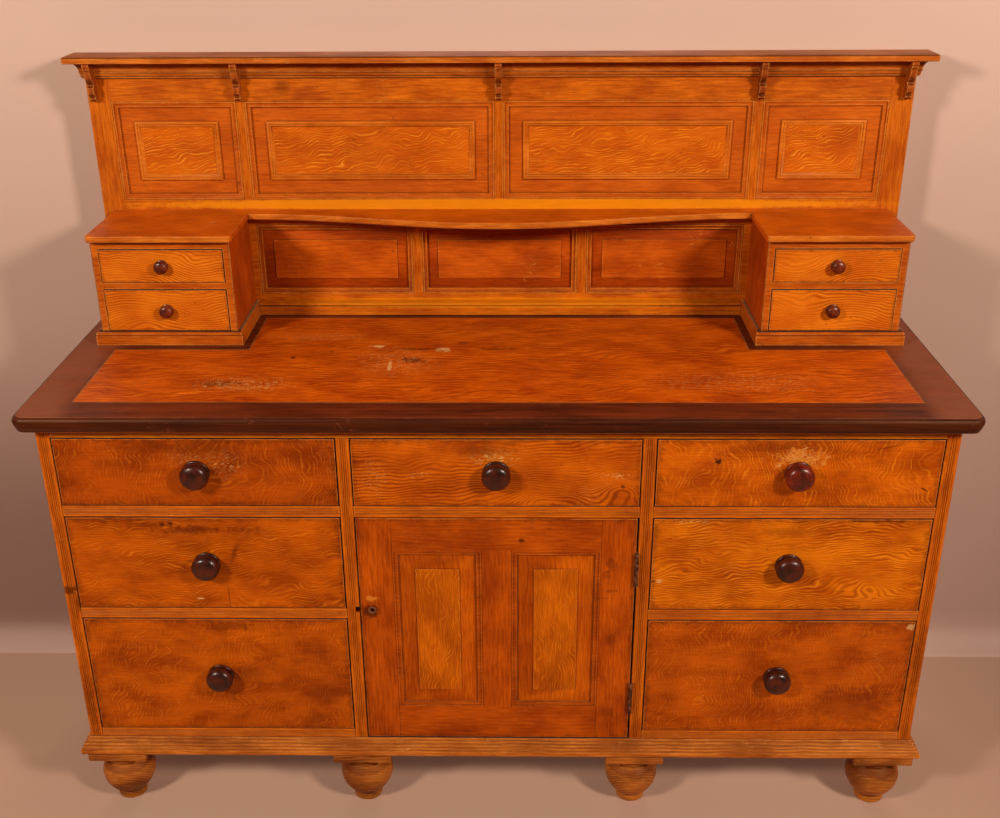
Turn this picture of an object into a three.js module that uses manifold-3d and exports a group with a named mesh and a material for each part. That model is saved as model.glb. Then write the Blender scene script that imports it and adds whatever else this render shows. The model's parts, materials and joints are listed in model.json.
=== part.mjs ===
import * as THREE from "three";
import { mergeVertices } from "three/addons/utils/BufferGeometryUtils.js";
import Module from "manifold-3d";

// A grained pine dresser: a chest of seven drawers round a two-panel cupboard door, a worktop,
// a low panelled back under a bracketed cornice, and two small boxes of drawers under a shelf.
// Millimetres, +Z up, +Y to the wall. The origin is on the floor, under the middle of the whole.

// Fits
const seam = 0.3; // glue line between two pieces that meet
const slideGap = 0.5; // under a drawer, over its runner
const frontGap = 2; // round a drawer front and along the free edges of the door
const lap = 2; // how far the joined parts of one piece reach into each other
const overrun = 5; // how far a cutting solid runs past the face that it cuts
const facets = 20; // sides of a turned piece

// Chest
const caseWidth = 1649;
const stileWidth = 25;
const centreWidth = 525;
const railHeight = 23;
const railDepth = 40;
const topRailHeight = 25;
const upperDrawerHeight = 138.7;
const middleDrawerHeight = 200.3;
const lowerDrawerHeight = 265.5;
const bottomThickness = 19.5;
const reedDepth = 1.4;
const edgeReed = 5;
const middleReeds = 4;
const stripDepth = 14;
const runnerWidth = 22;
const backBoardThickness = 12;
const backBoards = 9;
const backGroove = 3;

// Plinth and feet
const plinthHeight = 33.5;
const plinthReach = 19;
const plinthDepth = 110;
const footTurning = 124;
const footRadius = 53;
const footBlock = 117;
const footBlockHeight = 22;
const footBlockChamfer = 3;
const footBlockReach = 14; // in front of the chest
const footInset = 50; // from the side of the chest to the axis of an outer foot
const legDepth = 62;
const legToe = 44;

// Worktop
const worktopWidth = 1706;
const worktopDepth = 571;
const worktopThickness = 30;
const worktopNose = 7.5;
const worktopCorner = 23;
const frontOverhang = 37;

// Large drawers
const drawerFront = 22;
const drawerWall = 12;
const drawerFloor = 8;
const drawerFloorLift = 6;
const drawerLength = 500;
const drawerHeadroom = 14;

// Small boxes of drawers
const boxWidth = 274.5;
const boxDepth = 184.5;
const boxInset = 28.5; // from the side of the chest
const boxWall = 15;
const boxBackWall = 10;
const boxFloor = 27;
const boxMidRail = 13.5;
const boxTopRail = 16.5;
const boxLowerDrawer = 87.5;
const boxUpperDrawer = 68.5;
const boxDrawerFront = 16;
const boxDrawerWall = 8;
const boxDrawerFloor = 6;
const boxDrawerFloorLift = 4;
const boxDrawerLength = 158;
const boxDrawerHeadroom = 8;
const boxFrontGap = 1.5;
const boxBead = 4;
const skirtingHeight = 27;
const skirtingReach = 10;
const backSkirtingReach = 18;

// Shelf
const shelfWidth = 1598;
const shelfThickness = 14;
const shelfNose = 2.5;
const shelfCorner = 9;
const shelfSideReach = 6.5; // past the inner side of a box
const shelfFrontReach = 14.5; // past the front of a box
const shelfNarrow = 34; // from the back at the boxes
const shelfBow = 73; // what the serpentine adds at its middle

// Back
const backWidth = 1643;
const backThickness = 28;
const lowerPanelRise = 43;
const lowerPanelHeight = 150;
const lowerMiddlePanel = 325.5;
const lowerSidePanel = 325.5;
const lowerMuntin = 19.5;
const lowerBoard = 8;
const lowerBoardMargin = 12;
const upperRail = 20;
const upperPanelHeight = 199.5;
const upperMuntin = 17;
const upperCentreMuntin = 17;
const upperInnerPanel = 500.5;
const upperOuterPanel = 250;
const frieze = 79;
const panelThickness = 22;
const panelGround = 6; // how far the ground of a panel lies behind the frame
const panelMoulding = 13;
const ringInset = 39.5;
const ringWidth = 13;
const ringHeight = 5;
const lowerPanelGround = 9; // the same for the lower panels
const fieldMoulding = 12;
const fieldBevel = 21;
const fieldRise = 6;
const fieldStep = 2;

// Cornice and corbels
const bedHeight = 34;
const corniceHeight = 13;
const corniceFrontReach = 42.5;
const corniceSideReach = 27;
const corbelWidth = 13;
const corbelReach = 36;
const corbelHeight = 76;
const corbelEndInset = 15.5; // from the side of the back to the axis of an end corbel
const corbelSpan = 518; // from the middle corbel to the next

// Door
const doorThickness = 22;
const doorStile = 64.5;
const doorTopRail = 68;
const doorBottomRail = 75;
const doorMuntin = 56;
const doorPanelThickness = 15;
const doorBevel = 30;
const doorFieldRise = 5;
const doorStop = 2;
const leafThickness = 1.1;
const leafGap = 0.4;
const leafLength = 71;
const leafDepth = 19;
const barrelRadius = 4;
const barrelBore = 2;
const pinRadius = 1.4;
const barrelFacets = 12;
const upperHingeDrop = 107; // from the top of the door to the middle of a hinge
const lowerHingeRise = 101;
const keyholeRise = 303;
const keyholeInset = 22;
const keyholeRadius = 4;
const keyholeDepth = 8;
const keyholeFacets = 16;
const boltLength = 30;
const boltThickness = 8;
const boltHeight = 14;
const boltSetback = 7; // from the front of the door to the front of the bolt
const boltRunningGap = 0.5;
const strikeDepth = 9;

// Knobs
const knobRadius = 26;
const knobReach = 31;
const smallKnobRadius = 13.5;
const smallKnobReach = 18;

// Profiles, as shares of the sizes that carry them
const plinthShares = [
  [0.08, 0], [0, 0.08], [0, 0.28], [0.08, 0.38], [0.2, 0.4], [0.24, 0.52], [0.38, 0.56],
  [0.42, 0.68], [0.6, 0.72], [0.66, 0.84], [0.85, 0.86], [0.9, 1],
];
const worktopShares = [
  [0.95, 0], [0.47, 0.23], [0.1, 0.47], [0, 0.64], [0.1, 0.78], [0.4, 0.9], [0.93, 0.92], [1, 1],
];
const shelfShares = [[1, 0], [0.15, 0.12], [0, 0.3], [0, 0.8], [0.3, 0.94], [1, 1]];
const bedShares = [
  [0.04, 0], [0.04, 0.04], [0.16, 0.06], [0.18, 0.12], [0.16, 0.16], [0.2, 0.2], [0.22, 0.33],
  [0.26, 0.38], [0.28, 0.42], [0.24, 0.45], [0.27, 0.6], [0.36, 0.78], [0.48, 0.93], [0.5, 1],
];
const corniceShares = [[0.97, 0], [1, 0.06], [1, 0.8], [0.97, 0.93], [0.92, 1]];
const skirtingShares = [
  [0, 0], [0, 0.68], [0.25, 0.74], [0.1, 0.8], [0.14, 0.94], [0.4, 1], [1, 1],
];
const mouldingShares = [
  [0.05, 1.05], [0.18, 1.15], [0.3, 1], [0.34, 0.7], [0.66, 0.62], [0.72, 0.8], [0.88, 0.72], [1, 0],
];
const ringShares = [
  [0, 0], [0.04, 0.7], [0.22, 1], [0.42, 0.95], [0.5, 0.6], [0.62, 0.85], [0.86, 0.5], [1, 0],
];
const corbelShares = [
  [1, 0], [1, 0.09], [0.93, 0.11], [0.93, 0.17], [0.8, 0.19], [0.83, 0.26], [0.79, 0.36],
  [0.68, 0.45], [0.54, 0.53], [0.45, 0.56], [0.46, 0.6], [0.6, 0.63], [0.63, 0.72], [0.57, 0.81],
  [0.43, 0.84], [0.4, 0.88], [0.48, 0.91], [0.46, 0.95], [0.3, 0.98], [0.26, 1],
];
const knobShares = [
  [0.92, 0], [0.97, 0.06], [0.94, 0.14], [0.72, 0.2], [0.62, 0.27], [0.72, 0.34], [0.93, 0.44],
  [1, 0.56], [0.96, 0.72], [0.8, 0.87], [0.5, 0.96], [0.2, 1],
];
const footShares = [
  [0.47, 0], [0.52, 0.02], [0.52, 0.08], [0.6, 0.11], [0.78, 0.19], [0.92, 0.3], [1, 0.44],
  [0.98, 0.56], [0.88, 0.68], [0.72, 0.77], [0.68, 0.79], [0.8, 0.82], [0.83, 0.87], [0.78, 0.92],
  [0.72, 0.95], [0.74, 1],
];
const reedShares = [[0.2, 0.25], [0.5, 0], [0.8, 0.25]];
const cornerSteps = 5;
const serpentineSteps = 28;

// Levels and places that follow from the sizes
const plinthBottom = footTurning + footBlockHeight;
const plinthTop = plinthBottom + plinthHeight;
const bottomTop = plinthTop + bottomThickness;
const lowerRailBottom = bottomTop + lowerDrawerHeight;
const middleOpening = lowerRailBottom + railHeight;
const upperRailBottom = middleOpening + middleDrawerHeight;
const upperOpening = upperRailBottom + railHeight;
const topRailBottom = upperOpening + upperDrawerHeight;
const caseTop = topRailBottom + topRailHeight;
const worktopTop = caseTop + worktopThickness;
const caseDepth = worktopDepth - frontOverhang;
const sideWidth = (caseWidth - centreWidth) / 2 - 2 * stileWidth;
const gableInside = caseWidth / 2 - stileWidth;
const mullionOutside = centreWidth / 2 + stileWidth;
const sideCentre = (gableInside + mullionOutside) / 2;
const interiorDepth = caseDepth - backBoardThickness;
const boxCentre = caseWidth / 2 - boxInset - boxWidth / 2;
const boxHeight = boxFloor + boxLowerDrawer + boxMidRail + boxUpperDrawer + boxTopRail;
const shelfTop = boxHeight + shelfThickness;
const backHeight = shelfTop + upperRail + upperPanelHeight + frieze;
const friezeMoulding = backHeight - bedHeight;
const boxInside = boxCentre - boxWidth / 2;
const frontReach = Math.max(0, knobReach - frontOverhang); // of the knobs, past the worktop
const caseFront = frontOverhang + (frontReach - worktopDepth) / 2;
const backFace = caseFront + caseDepth - backThickness;

// Lays a profile drawn in x and y on another plane: along x it stands as y and z, along y as x and z.
const alongX = new THREE.Matrix4().makeBasis(
  new THREE.Vector3(0, 1, 0), new THREE.Vector3(0, 0, 1), new THREE.Vector3(1, 0, 0),
);
const facingFront = new THREE.Matrix4().makeBasis(
  new THREE.Vector3(1, 0, 0), new THREE.Vector3(0, 0, 1), new THREE.Vector3(0, -1, 0),
);

const wasm = await Module();
wasm.setup();

// A closed geometry as a solid that can be joined and cut.
function solid(geometry) {
  geometry.deleteAttribute("normal");
  geometry.deleteAttribute("uv");
  const merged = mergeVertices(geometry);
  return new wasm.Manifold(new wasm.Mesh({
    numProp: 3,
    vertProperties: merged.attributes.position.array,
    triVerts: new Uint32Array(merged.index.array),
  }));
}

// The surface of a solid, flat-shaded.
function surface(body) {
  const mesh = body.getMesh();
  const shared = new THREE.BufferGeometry();
  shared.setAttribute("position", new THREE.BufferAttribute(new Float32Array(mesh.vertProperties), 3));
  shared.setIndex(new THREE.BufferAttribute(new Uint32Array(mesh.triVerts), 1));
  const geometry = shared.toNonIndexed();
  geometry.computeVertexNormals();
  return geometry;
}

function join(first, ...others) {
  return others.reduce((body, other) => body.add(other), first);
}

function cut(first, ...others) {
  return others.reduce((body, other) => body.subtract(other), first);
}

// A box between two corners.
function block(from, to) {
  const size = to.map((value, axis) => value - from[axis]);
  const middle = to.map((value, axis) => (value + from[axis]) / 2);
  return solid(new THREE.BoxGeometry(...size).translate(...middle));
}

function extruded(points, length) {
  const shape = new THREE.Shape(points.map(([x, y]) => new THREE.Vector2(x, y)));
  return new THREE.ExtrudeGeometry(shape, { depth: length, bevelEnabled: false });
}

// A profile of y and z points carried along x.
function barX(points, from, to) {
  return solid(extruded(points, to - from).applyMatrix4(alongX).translate(from, 0, 0));
}

// A profile of x and z points carried along y.
function barY(points, from, to) {
  return solid(extruded(points, to - from).applyMatrix4(facingFront).translate(0, to, 0));
}

// A profile of x and y points carried along z.
function barZ(points, from, to) {
  return solid(extruded(points, to - from).translate(0, 0, from));
}

// The closed surface through outlines of equal point counts, one for each [inset, height].
function lofted(outlineAt, steps) {
  const rings = steps.map(([inset]) => outlineAt(inset));
  const count = rings[0].length;
  const positions = rings.flatMap((ring, level) => ring.flatMap((point) => [...point, steps[level][1]]));
  const faces = [];
  for (let level = 1; level < rings.length; level += 1) {
    for (let i = 0; i < count; i += 1) {
      const next = (i + 1) % count;
      const [low, high] = [(level - 1) * count, level * count];
      faces.push(low + i, low + next, high + next, low + i, high + next, high + i);
    }
  }
  const cap = (ring) => {
    const corners = ring.map(([x, y]) => new THREE.Vector2(x, y));
    return THREE.ShapeUtils.triangulateShape(corners, []);
  };
  const top = (rings.length - 1) * count;
  cap(rings[0]).forEach(([a, b, c]) => faces.push(c, b, a));
  cap(rings.at(-1)).forEach(([a, b, c]) => faces.push(top + a, top + b, top + c));
  const geometry = new THREE.BufferGeometry();
  geometry.setAttribute("position", new THREE.Float32BufferAttribute(positions, 3));
  geometry.setIndex(faces);
  return geometry;
}

// A turned piece round z, from [radius share, length share] points.
function turned(shares, radius, length, sides) {
  const points = shares.map(([r, z]) => new THREE.Vector2(r * radius, z * length));
  const profile = [new THREE.Vector2(0, 0), ...points, new THREE.Vector2(0, length)];
  return new THREE.LatheGeometry(profile, sides).rotateX(Math.PI / 2);
}

// An outline that keeps its rear edge while its front and sides draw in.
function threeSided(width, depth, sideShare) {
  return (inset) => {
    const half = width / 2 - inset * sideShare;
    return [[-half, inset], [half, inset], [half, depth], [-half, depth]];
  };
}

// An outline that draws in all round.
function rectangle(width, height) {
  return (inset) => {
    const [x, y] = [width / 2 - inset, height / 2 - inset];
    return [[-x, -y], [x, -y], [x, y], [-x, y]];
  };
}

// A quarter arc round a corner's centre, from one angle to the next quarter.
function arc(x, y, radius, start, quarter) {
  return Array.from({ length: cornerSteps }, (_, i) => {
    const angle = start + (quarter * i) / (cornerSteps - 1);
    return [x + radius * Math.cos(angle), y + radius * Math.sin(angle)];
  });
}

// The steps of a moulding that starts at an inset and stands on a base.
function moulding(shares, inset, width, base, height) {
  return shares.map(([across, up]) => [inset + across * width, base + up * height]);
}

// The reeded front of a rail or stile: [depth, place] points from one edge to the other.
function reeds(width) {
  const inner = (width - 2 * edgeReed) / middleReeds;
  const widths = [edgeReed, ...Array(middleReeds).fill(inner), edgeReed];
  const points = [[reedDepth, 0]];
  let place = 0;
  widths.forEach((reed) => {
    reedShares.forEach(([across, deep]) => points.push([deep * reedDepth, place + across * reed]));
    place += reed;
    points.push([reedDepth, place]);
  });
  return points;
}

// A rail with a reeded front, from its lower edge up.
function reededRail(from, to, bottom, height, depth) {
  const face = reeds(height).map(([y, z]) => [y, bottom + z]);
  return barX([...face, [depth, bottom + height], [depth, bottom]], from, to);
}

// The reeded front strip of an upright board, from its left edge.
function reededStile(left, width, from, to) {
  const face = reeds(width).map(([y, x]) => [left + x, y]);
  return barZ([...face, [left + width, stripDepth], [left, stripDepth]], from, to);
}

const paint = (color, roughness) => new THREE.MeshStandardMaterial({ color, roughness, metalness: 0 });
const finishes = {
  drawer: () => paint(0xc0661f, 0.42),
  frame: () => paint(0xb5561c, 0.42),
  panel: () => paint(0xa94e1a, 0.42),
  top: () => paint(0x9c4418, 0.36),
  pine: () => paint(0xb98a54, 0.75),
  knob: () => paint(0x34120a, 0.2),
  iron: () => new THREE.MeshStandardMaterial({ color: 0x6f5a41, roughness: 0.5, metalness: 0.9 }),
};

// One named piece at its place in a group.
function put(group, name, body, finish, [x, y, z] = [0, 0, 0]) {
  const mesh = new THREE.Mesh(surface(body), finishes[finish]());
  mesh.name = name;
  mesh.position.set(x, y, z);
  group.add(mesh);
  return mesh;
}

function group(x, y, z) {
  const made = new THREE.Group();
  made.position.set(x, y, z);
  return made;
}

// The side of the chest: a board with a reeded front, the runners, the plinth's side and the rear leg.
function gable(side) {
  const inner = gableInside + seam;
  const outer = caseWidth / 2;
  const low = plinthTop + seam;
  const plinthStart = plinthDepth - plinthReach + seam;
  const outline = [
    [reedDepth + lap, low], [plinthStart, low], [plinthStart, plinthBottom],
    [caseDepth - legDepth, plinthBottom], [caseDepth - legToe, 0], [caseDepth, 0],
    [caseDepth, caseTop - seam], [reedDepth + lap, caseTop - seam],
  ];
  const board = barX(outline, inner, outer);
  const strip = reededStile(inner, outer - inner, low, caseTop - seam);
  const profile = moulding(plinthShares, 0, plinthReach, plinthBottom, plinthHeight)
    .map(([inset, z]) => [outer + plinthReach - inset, z]);
  const section = [...profile, [outer - lap, plinthTop], [outer - lap, plinthBottom]];
  const plinthSide = barY(section, plinthStart, caseDepth);
  const runners = [lowerRailBottom, upperRailBottom]
    .map((bottom) => runner(inner - runnerWidth, inner + lap, bottom));
  const body = join(board, strip, plinthSide, ...runners);
  return side < 0 ? body.mirror([1, 0, 0]) : body;
}

// A drawer runner behind a rail, its top level with the rail's.
function runner(from, to, bottom) {
  return block([from, railDepth + seam, bottom], [to, interiorDepth - seam, bottom + railHeight]);
}

// The upright between two columns, with its reeded front and its runners.
function partition(side) {
  const [left, right] = [centreWidth / 2 + seam, mullionOutside - seam];
  const low = bottomTop + seam;
  const outline = [
    [reedDepth + lap, low], [interiorDepth - seam, low], [interiorDepth - seam, caseTop - seam],
    [railDepth + seam, caseTop - seam], [railDepth + seam, topRailBottom - seam],
    [reedDepth + lap, topRailBottom - seam],
  ];
  const board = barX(outline, left, right);
  const strip = reededStile(left, right - left, plinthTop + seam, topRailBottom - seam);
  const outerRunners = [lowerRailBottom, upperRailBottom]
    .map((bottom) => runner(right - lap, right + runnerWidth, bottom));
  const innerRunner = runner(left - runnerWidth, left + lap, upperRailBottom);
  const body = join(board, strip, ...outerRunners, innerRunner);
  return side < 0 ? cut(body.mirror([1, 0, 0]), strike()) : body;
}

// The recess in the left mullion's arris that the lock's bolt enters.
function strike() {
  const right = -centreWidth / 2;
  const middle = doorBottom() + keyholeRise;
  const half = boltHeight / 2 + boltRunningGap;
  return block(
    [right - strikeDepth, -overrun, middle - half],
    [right + overrun, boltSetback + boltThickness + boltRunningGap, middle + half],
  );
}

// The board under the drawers, with the moulded plinth rail under its front.
function baseBoard() {
  const edge = gableInside - seam;
  const notchEdge = mullionOutside + seam;
  const stop = doorThickness + doorStop;
  const plan = [
    [-edge, reedDepth + lap], [-notchEdge, reedDepth + lap], [-notchEdge, stop], [notchEdge, stop],
    [notchEdge, reedDepth + lap], [edge, reedDepth + lap],
    [edge, interiorDepth - seam], [-edge, interiorDepth - seam],
  ];
  const board = barZ(plan, plinthTop - lap, bottomTop);
  const fronts = [[-edge, -notchEdge], [notchEdge, edge]]
    .map(([from, to]) => reededRail(from, to, plinthTop - lap, bottomThickness + lap, stop));
  const plinth = solid(lofted(
    threeSided(caseWidth + 2 * plinthReach, plinthDepth, 1),
    moulding(plinthShares, 0, plinthReach, plinthBottom, plinthHeight),
  ).translate(0, -plinthReach, 0));
  return join(board, ...fronts, plinth);
}

// The boarded back of the chest, grooved where its boards meet.
function carcassBack() {
  const width = 2 * (gableInside - seam);
  const pitch = width / backBoards;
  const grooves = Array.from({ length: backBoards - 1 }, (_, i) => {
    const x = (i + 1) * pitch - width / 2;
    return [[x - backGroove, caseDepth], [x, caseDepth - backGroove], [x + backGroove, caseDepth]];
  }).flat();
  const plan = [
    [-width / 2, interiorDepth], [-width / 2, caseDepth], ...grooves,
    [width / 2, caseDepth], [width / 2, interiorDepth],
  ];
  return barZ(plan, plinthTop, caseTop - seam);
}

// A bun foot under its square block.
function foot() {
  const bun = solid(turned(footShares, footRadius, footTurning + lap, facets));
  const steps = [[footBlockChamfer, 0], [0, footBlockChamfer], [0, footBlockHeight - seam]];
  const square = solid(lofted(rectangle(footBlock, footBlock), steps).translate(0, 0, footTurning));
  return join(bun, square);
}

function worktop() {
  const outline = (inset) => {
    const half = worktopWidth / 2;
    const radius = worktopCorner - inset;
    const centre = half - worktopCorner;
    return [
      ...arc(-centre, worktopCorner, radius, Math.PI, Math.PI / 2),
      ...arc(centre, worktopCorner, radius, -Math.PI / 2, Math.PI / 2),
      [half - inset, worktopDepth], [-half + inset, worktopDepth],
    ];
  };
  return solid(lofted(outline, moulding(worktopShares, 0, worktopNose, 0, worktopThickness)));
}

// A drawer: its front, and a tray behind it with a raised floor. The origin is the front's lower middle.
function drawer(width, height, sizes) {
  const { gap, front, wall, floor, lift, length, headroom } = sizes;
  const half = width / 2 - gap;
  const face = block([-half, 0, gap], [half, front, height - gap]);
  const tray = block([-half, front - lap, slideGap], [half, length, height - headroom]);
  const inside = block([wall - half, front, lift + floor], [half - wall, length - wall, height]);
  const under = block([wall - half, front, -overrun], [half - wall, length + overrun, lift]);
  return join(face, cut(tray, inside, under));
}

const largeDrawer = {
  gap: frontGap, front: drawerFront, wall: drawerWall, floor: drawerFloor, lift: drawerFloorLift,
  length: drawerLength, headroom: drawerHeadroom,
};
const smallDrawer = {
  gap: boxFrontGap, front: boxDrawerFront, wall: boxDrawerWall, floor: boxDrawerFloor,
  lift: boxDrawerFloorLift, length: boxDrawerLength, headroom: boxDrawerHeadroom,
};

// A turned knob whose foot rests on a drawer front.
function knob(radius, reach) {
  return solid(turned(knobShares, radius, reach - seam, facets).rotateX(Math.PI / 2));
}

// A drawer with its knob in the middle of the front.
function addDrawer(parent, name, width, height, sizes, [x, y, z], radius, reach) {
  const sliding = group(x, y, z);
  put(sliding, name, drawer(width, height, sizes), "drawer");
  put(sliding, `${name}_knob`, knob(radius, reach), "knob", [0, -seam, height / 2]);
  parent.add(sliding);
}

// The box for two small drawers, with the skirting round its foot.
function drawerCase() {
  const half = boxWidth / 2;
  const bead = [
    [-half, boxBead], [-half + boxBead / 2, 0], [-half + boxBead, boxBead / 2],
    [half - boxBead, boxBead / 2], [half - boxBead / 2, 0], [half, boxBead],
    [half, boxDepth - seam], [-half, boxDepth - seam],
  ];
  const shell = barZ(bead, seam, boxHeight - seam);
  const inside = half - boxWall;
  const opening = (bottom, height) => block(
    [-inside, -overrun, bottom], [inside, boxDepth - boxBackWall, bottom + height],
  );
  const skirting = solid(lofted(
    threeSided(boxWidth + 2 * skirtingReach, boxDepth - seam + skirtingReach, 1),
    moulding(skirtingShares, 0, skirtingReach, seam, skirtingHeight),
  ).translate(0, -skirtingReach, 0));
  return cut(
    join(shell, skirting),
    opening(boxFloor, boxLowerDrawer),
    opening(boxFloor + boxLowerDrawer + boxMidRail, boxUpperDrawer),
  );
}

// Where the shelf's front edge stands, from the back, along the stretch between the boxes.
function serpentine(x, span) {
  return shelfNarrow + (shelfBow * (1 + Math.cos((Math.PI * x) / span))) / 2;
}

// Draws a closed outline in by an inset, with mitred corners, and keeps its rear edge.
function drawnIn(points, inset, rear) {
  return points.map((point, i) => {
    const before = points.at(i - 1);
    const after = points[(i + 1) % points.length];
    const normals = [[before, point], [point, after]].map(([a, b]) => {
      const length = Math.hypot(b[0] - a[0], b[1] - a[1]);
      return [(a[1] - b[1]) / length, (b[0] - a[0]) / length];
    });
    const [[ax, ay], [bx, by]] = normals;
    const scale = inset / (1 + ax * bx + ay * by);
    const y = point[1] === rear ? rear : point[1] + (ay + by) * scale;
    return [point[0] + (ax + bx) * scale, y];
  });
}

// The plate shelf: deep over the boxes, and a shallow serpentine between them.
function plateShelf() {
  const depth = boxDepth + shelfFrontReach - seam;
  const span = boxInside - shelfSideReach;
  const half = shelfWidth / 2;
  const r = shelfCorner;
  const front = Array.from({ length: serpentineSteps + 1 }, (_, i) => {
    const x = ((2 * i) / serpentineSteps - 1) * span;
    return [x, depth - serpentine(x, span)];
  });
  const quarter = Math.PI / 2;
  const outline = [
    ...arc(-half + r, r, r, Math.PI, quarter), ...arc(-span - r, r, r, -quarter, quarter),
    ...front,
    ...arc(span + r, r, r, Math.PI, quarter), ...arc(half - r, r, r, -quarter, quarter),
    [half, depth], [-half, depth],
  ];
  const steps = moulding(shelfShares, 0, shelfNose, 0, shelfThickness - seam);
  return solid(lofted((inset) => drawnIn(outline, inset, depth), steps));
}

// The places of the back's openings: middle, width, bottom and height.
function upperOpenings() {
  const inner = upperCentreMuntin / 2 + upperInnerPanel / 2;
  const outer = upperCentreMuntin / 2 + upperInnerPanel + upperMuntin + upperOuterPanel / 2;
  const bottom = shelfTop + upperRail;
  return [
    ["outer_left", -outer, upperOuterPanel], ["inner_left", -inner, upperInnerPanel],
    ["inner_right", inner, upperInnerPanel], ["outer_right", outer, upperOuterPanel],
  ].map(([name, x, width]) => ({ name, x, width, bottom, height: upperPanelHeight }));
}

function lowerOpenings() {
  const side = (lowerMiddlePanel + lowerSidePanel) / 2 + lowerMuntin;
  return [[-side, lowerSidePanel], [0, lowerMiddlePanel], [side, lowerSidePanel]]
    .map(([x, width]) => ({ x, width, bottom: lowerPanelRise, height: lowerPanelHeight }));
}

// The size of the board that carries the three lower panels, grown by a margin.
function lowerBoardBox(grow, front) {
  const openings = lowerOpenings();
  const margin = lowerBoardMargin + grow;
  const last = openings.at(-1);
  const half = last.x + last.width / 2 + margin;
  return block(
    [-half, backThickness - lowerBoard + front, lowerPanelRise - margin],
    [half, backThickness + (grow > 0 ? overrun : 0), lowerPanelRise + lowerPanelHeight + margin],
  );
}

// The framed back over the worktop, with the moulded strip along its foot.
function backFrame() {
  const half = backWidth / 2;
  const frame = block([-half, 0, seam], [half, backThickness, backHeight - seam]);
  const openings = [...upperOpenings(), ...lowerOpenings()].map(({ x, width, bottom, height }) => block(
    [x - width / 2, -overrun, bottom], [x + width / 2, backThickness + overrun, bottom + height],
  ));
  const profile = moulding(skirtingShares, 0, backSkirtingReach, seam, skirtingHeight)
    .map(([inset, z]) => [inset - backSkirtingReach, z]);
  const edge = boxInside - skirtingReach - seam;
  const strip = barX([...profile, [lap, seam + skirtingHeight], [lap, seam]], -edge, edge);
  return join(cut(frame, ...openings, lowerBoardBox(seam, 0)), strip);
}

// The steps of a panel from its rear face: a moulding inside the frame, then its ground.
function panelEdge(thickness, width, ground) {
  const base = thickness - ground;
  return [[0, 0], [0, thickness], ...moulding(mouldingShares, 0, width, base, ground)];
}

// A panel with an applied ring moulding round its field.
function ringedPanel(width, height) {
  const base = panelThickness - panelGround;
  const steps = [
    ...panelEdge(panelThickness, panelMoulding, panelGround),
    ...moulding(ringShares, ringInset, ringWidth, base, ringHeight),
  ];
  const outline = rectangle(width - 2 * seam, height - 2 * seam);
  return solid(lofted(outline, steps).applyMatrix4(facingFront));
}

// A panel whose bevelled margin rises to a raised field.
function fieldedPanel(width, height, { thickness, ground, bevel, rise }) {
  const base = thickness - ground;
  const start = fieldMoulding;
  const steps = [
    ...panelEdge(thickness, start, ground),
    [start + bevel, base + rise - fieldStep], [start + bevel, base + rise],
  ];
  return lofted(rectangle(width, height), steps).applyMatrix4(facingFront);
}

const lowerPanel = {
  thickness: backThickness - lowerBoard / 2, ground: lowerPanelGround, bevel: fieldBevel, rise: fieldRise,
};
const doorPanel = {
  thickness: doorPanelThickness, ground: panelGround, bevel: doorBevel, rise: doorFieldRise,
};

// The three lower panels on the one board that holds them in the frame.
function lowerPanels() {
  const fields = lowerOpenings().map(({ x, width, bottom, height }) => {
    const panel = fieldedPanel(width - 2 * seam, height - 2 * seam, lowerPanel);
    return solid(panel.translate(x, lowerPanel.thickness, bottom + height / 2));
  });
  return join(lowerBoardBox(0, seam), ...fields);
}

// The cornice board with the bed moulding under it, cut round the back and the corbels.
function cornice() {
  const sideShare = corniceSideReach / corniceFrontReach;
  const bed = bedShares.map(([reach, up]) => [corniceFrontReach * (1 - reach), up * bedHeight]);
  const board = corniceShares
    .map(([reach, up]) => [corniceFrontReach * (1 - reach), bedHeight + up * corniceHeight]);
  const outline = threeSided(
    backWidth + 2 * corniceSideReach, corniceFrontReach + backThickness, sideShare,
  );
  const whole = solid(
    lofted(outline, [...bed, ...board]).translate(0, -corniceFrontReach, friezeMoulding),
  );
  const half = backWidth / 2 + seam;
  const core = block([-half, -seam, friezeMoulding - overrun], [half, backThickness + overrun, backHeight]);
  const slots = corbelPlaces().map((x) => block(
    [x - corbelWidth / 2 - seam, -corniceFrontReach - overrun, friezeMoulding - overrun],
    [x + corbelWidth / 2 + seam, overrun, backHeight],
  ));
  return cut(whole, core, ...slots);
}

function corbelPlaces() {
  const end = backWidth / 2 - corbelEndInset;
  return [-end, -corbelSpan, 0, corbelSpan, end];
}

// A carved bracket under the cornice: its profile of steps, coves and beads, from the top down.
function corbel() {
  const profile = corbelShares.map(([reach, down]) => [-reach * corbelReach, -down * corbelHeight]);
  return barX([[0, 0], ...profile, [0, -corbelHeight]], -corbelWidth / 2, corbelWidth / 2);
}

function doorBottom() {
  return plinthTop + frontGap;
}

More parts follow.
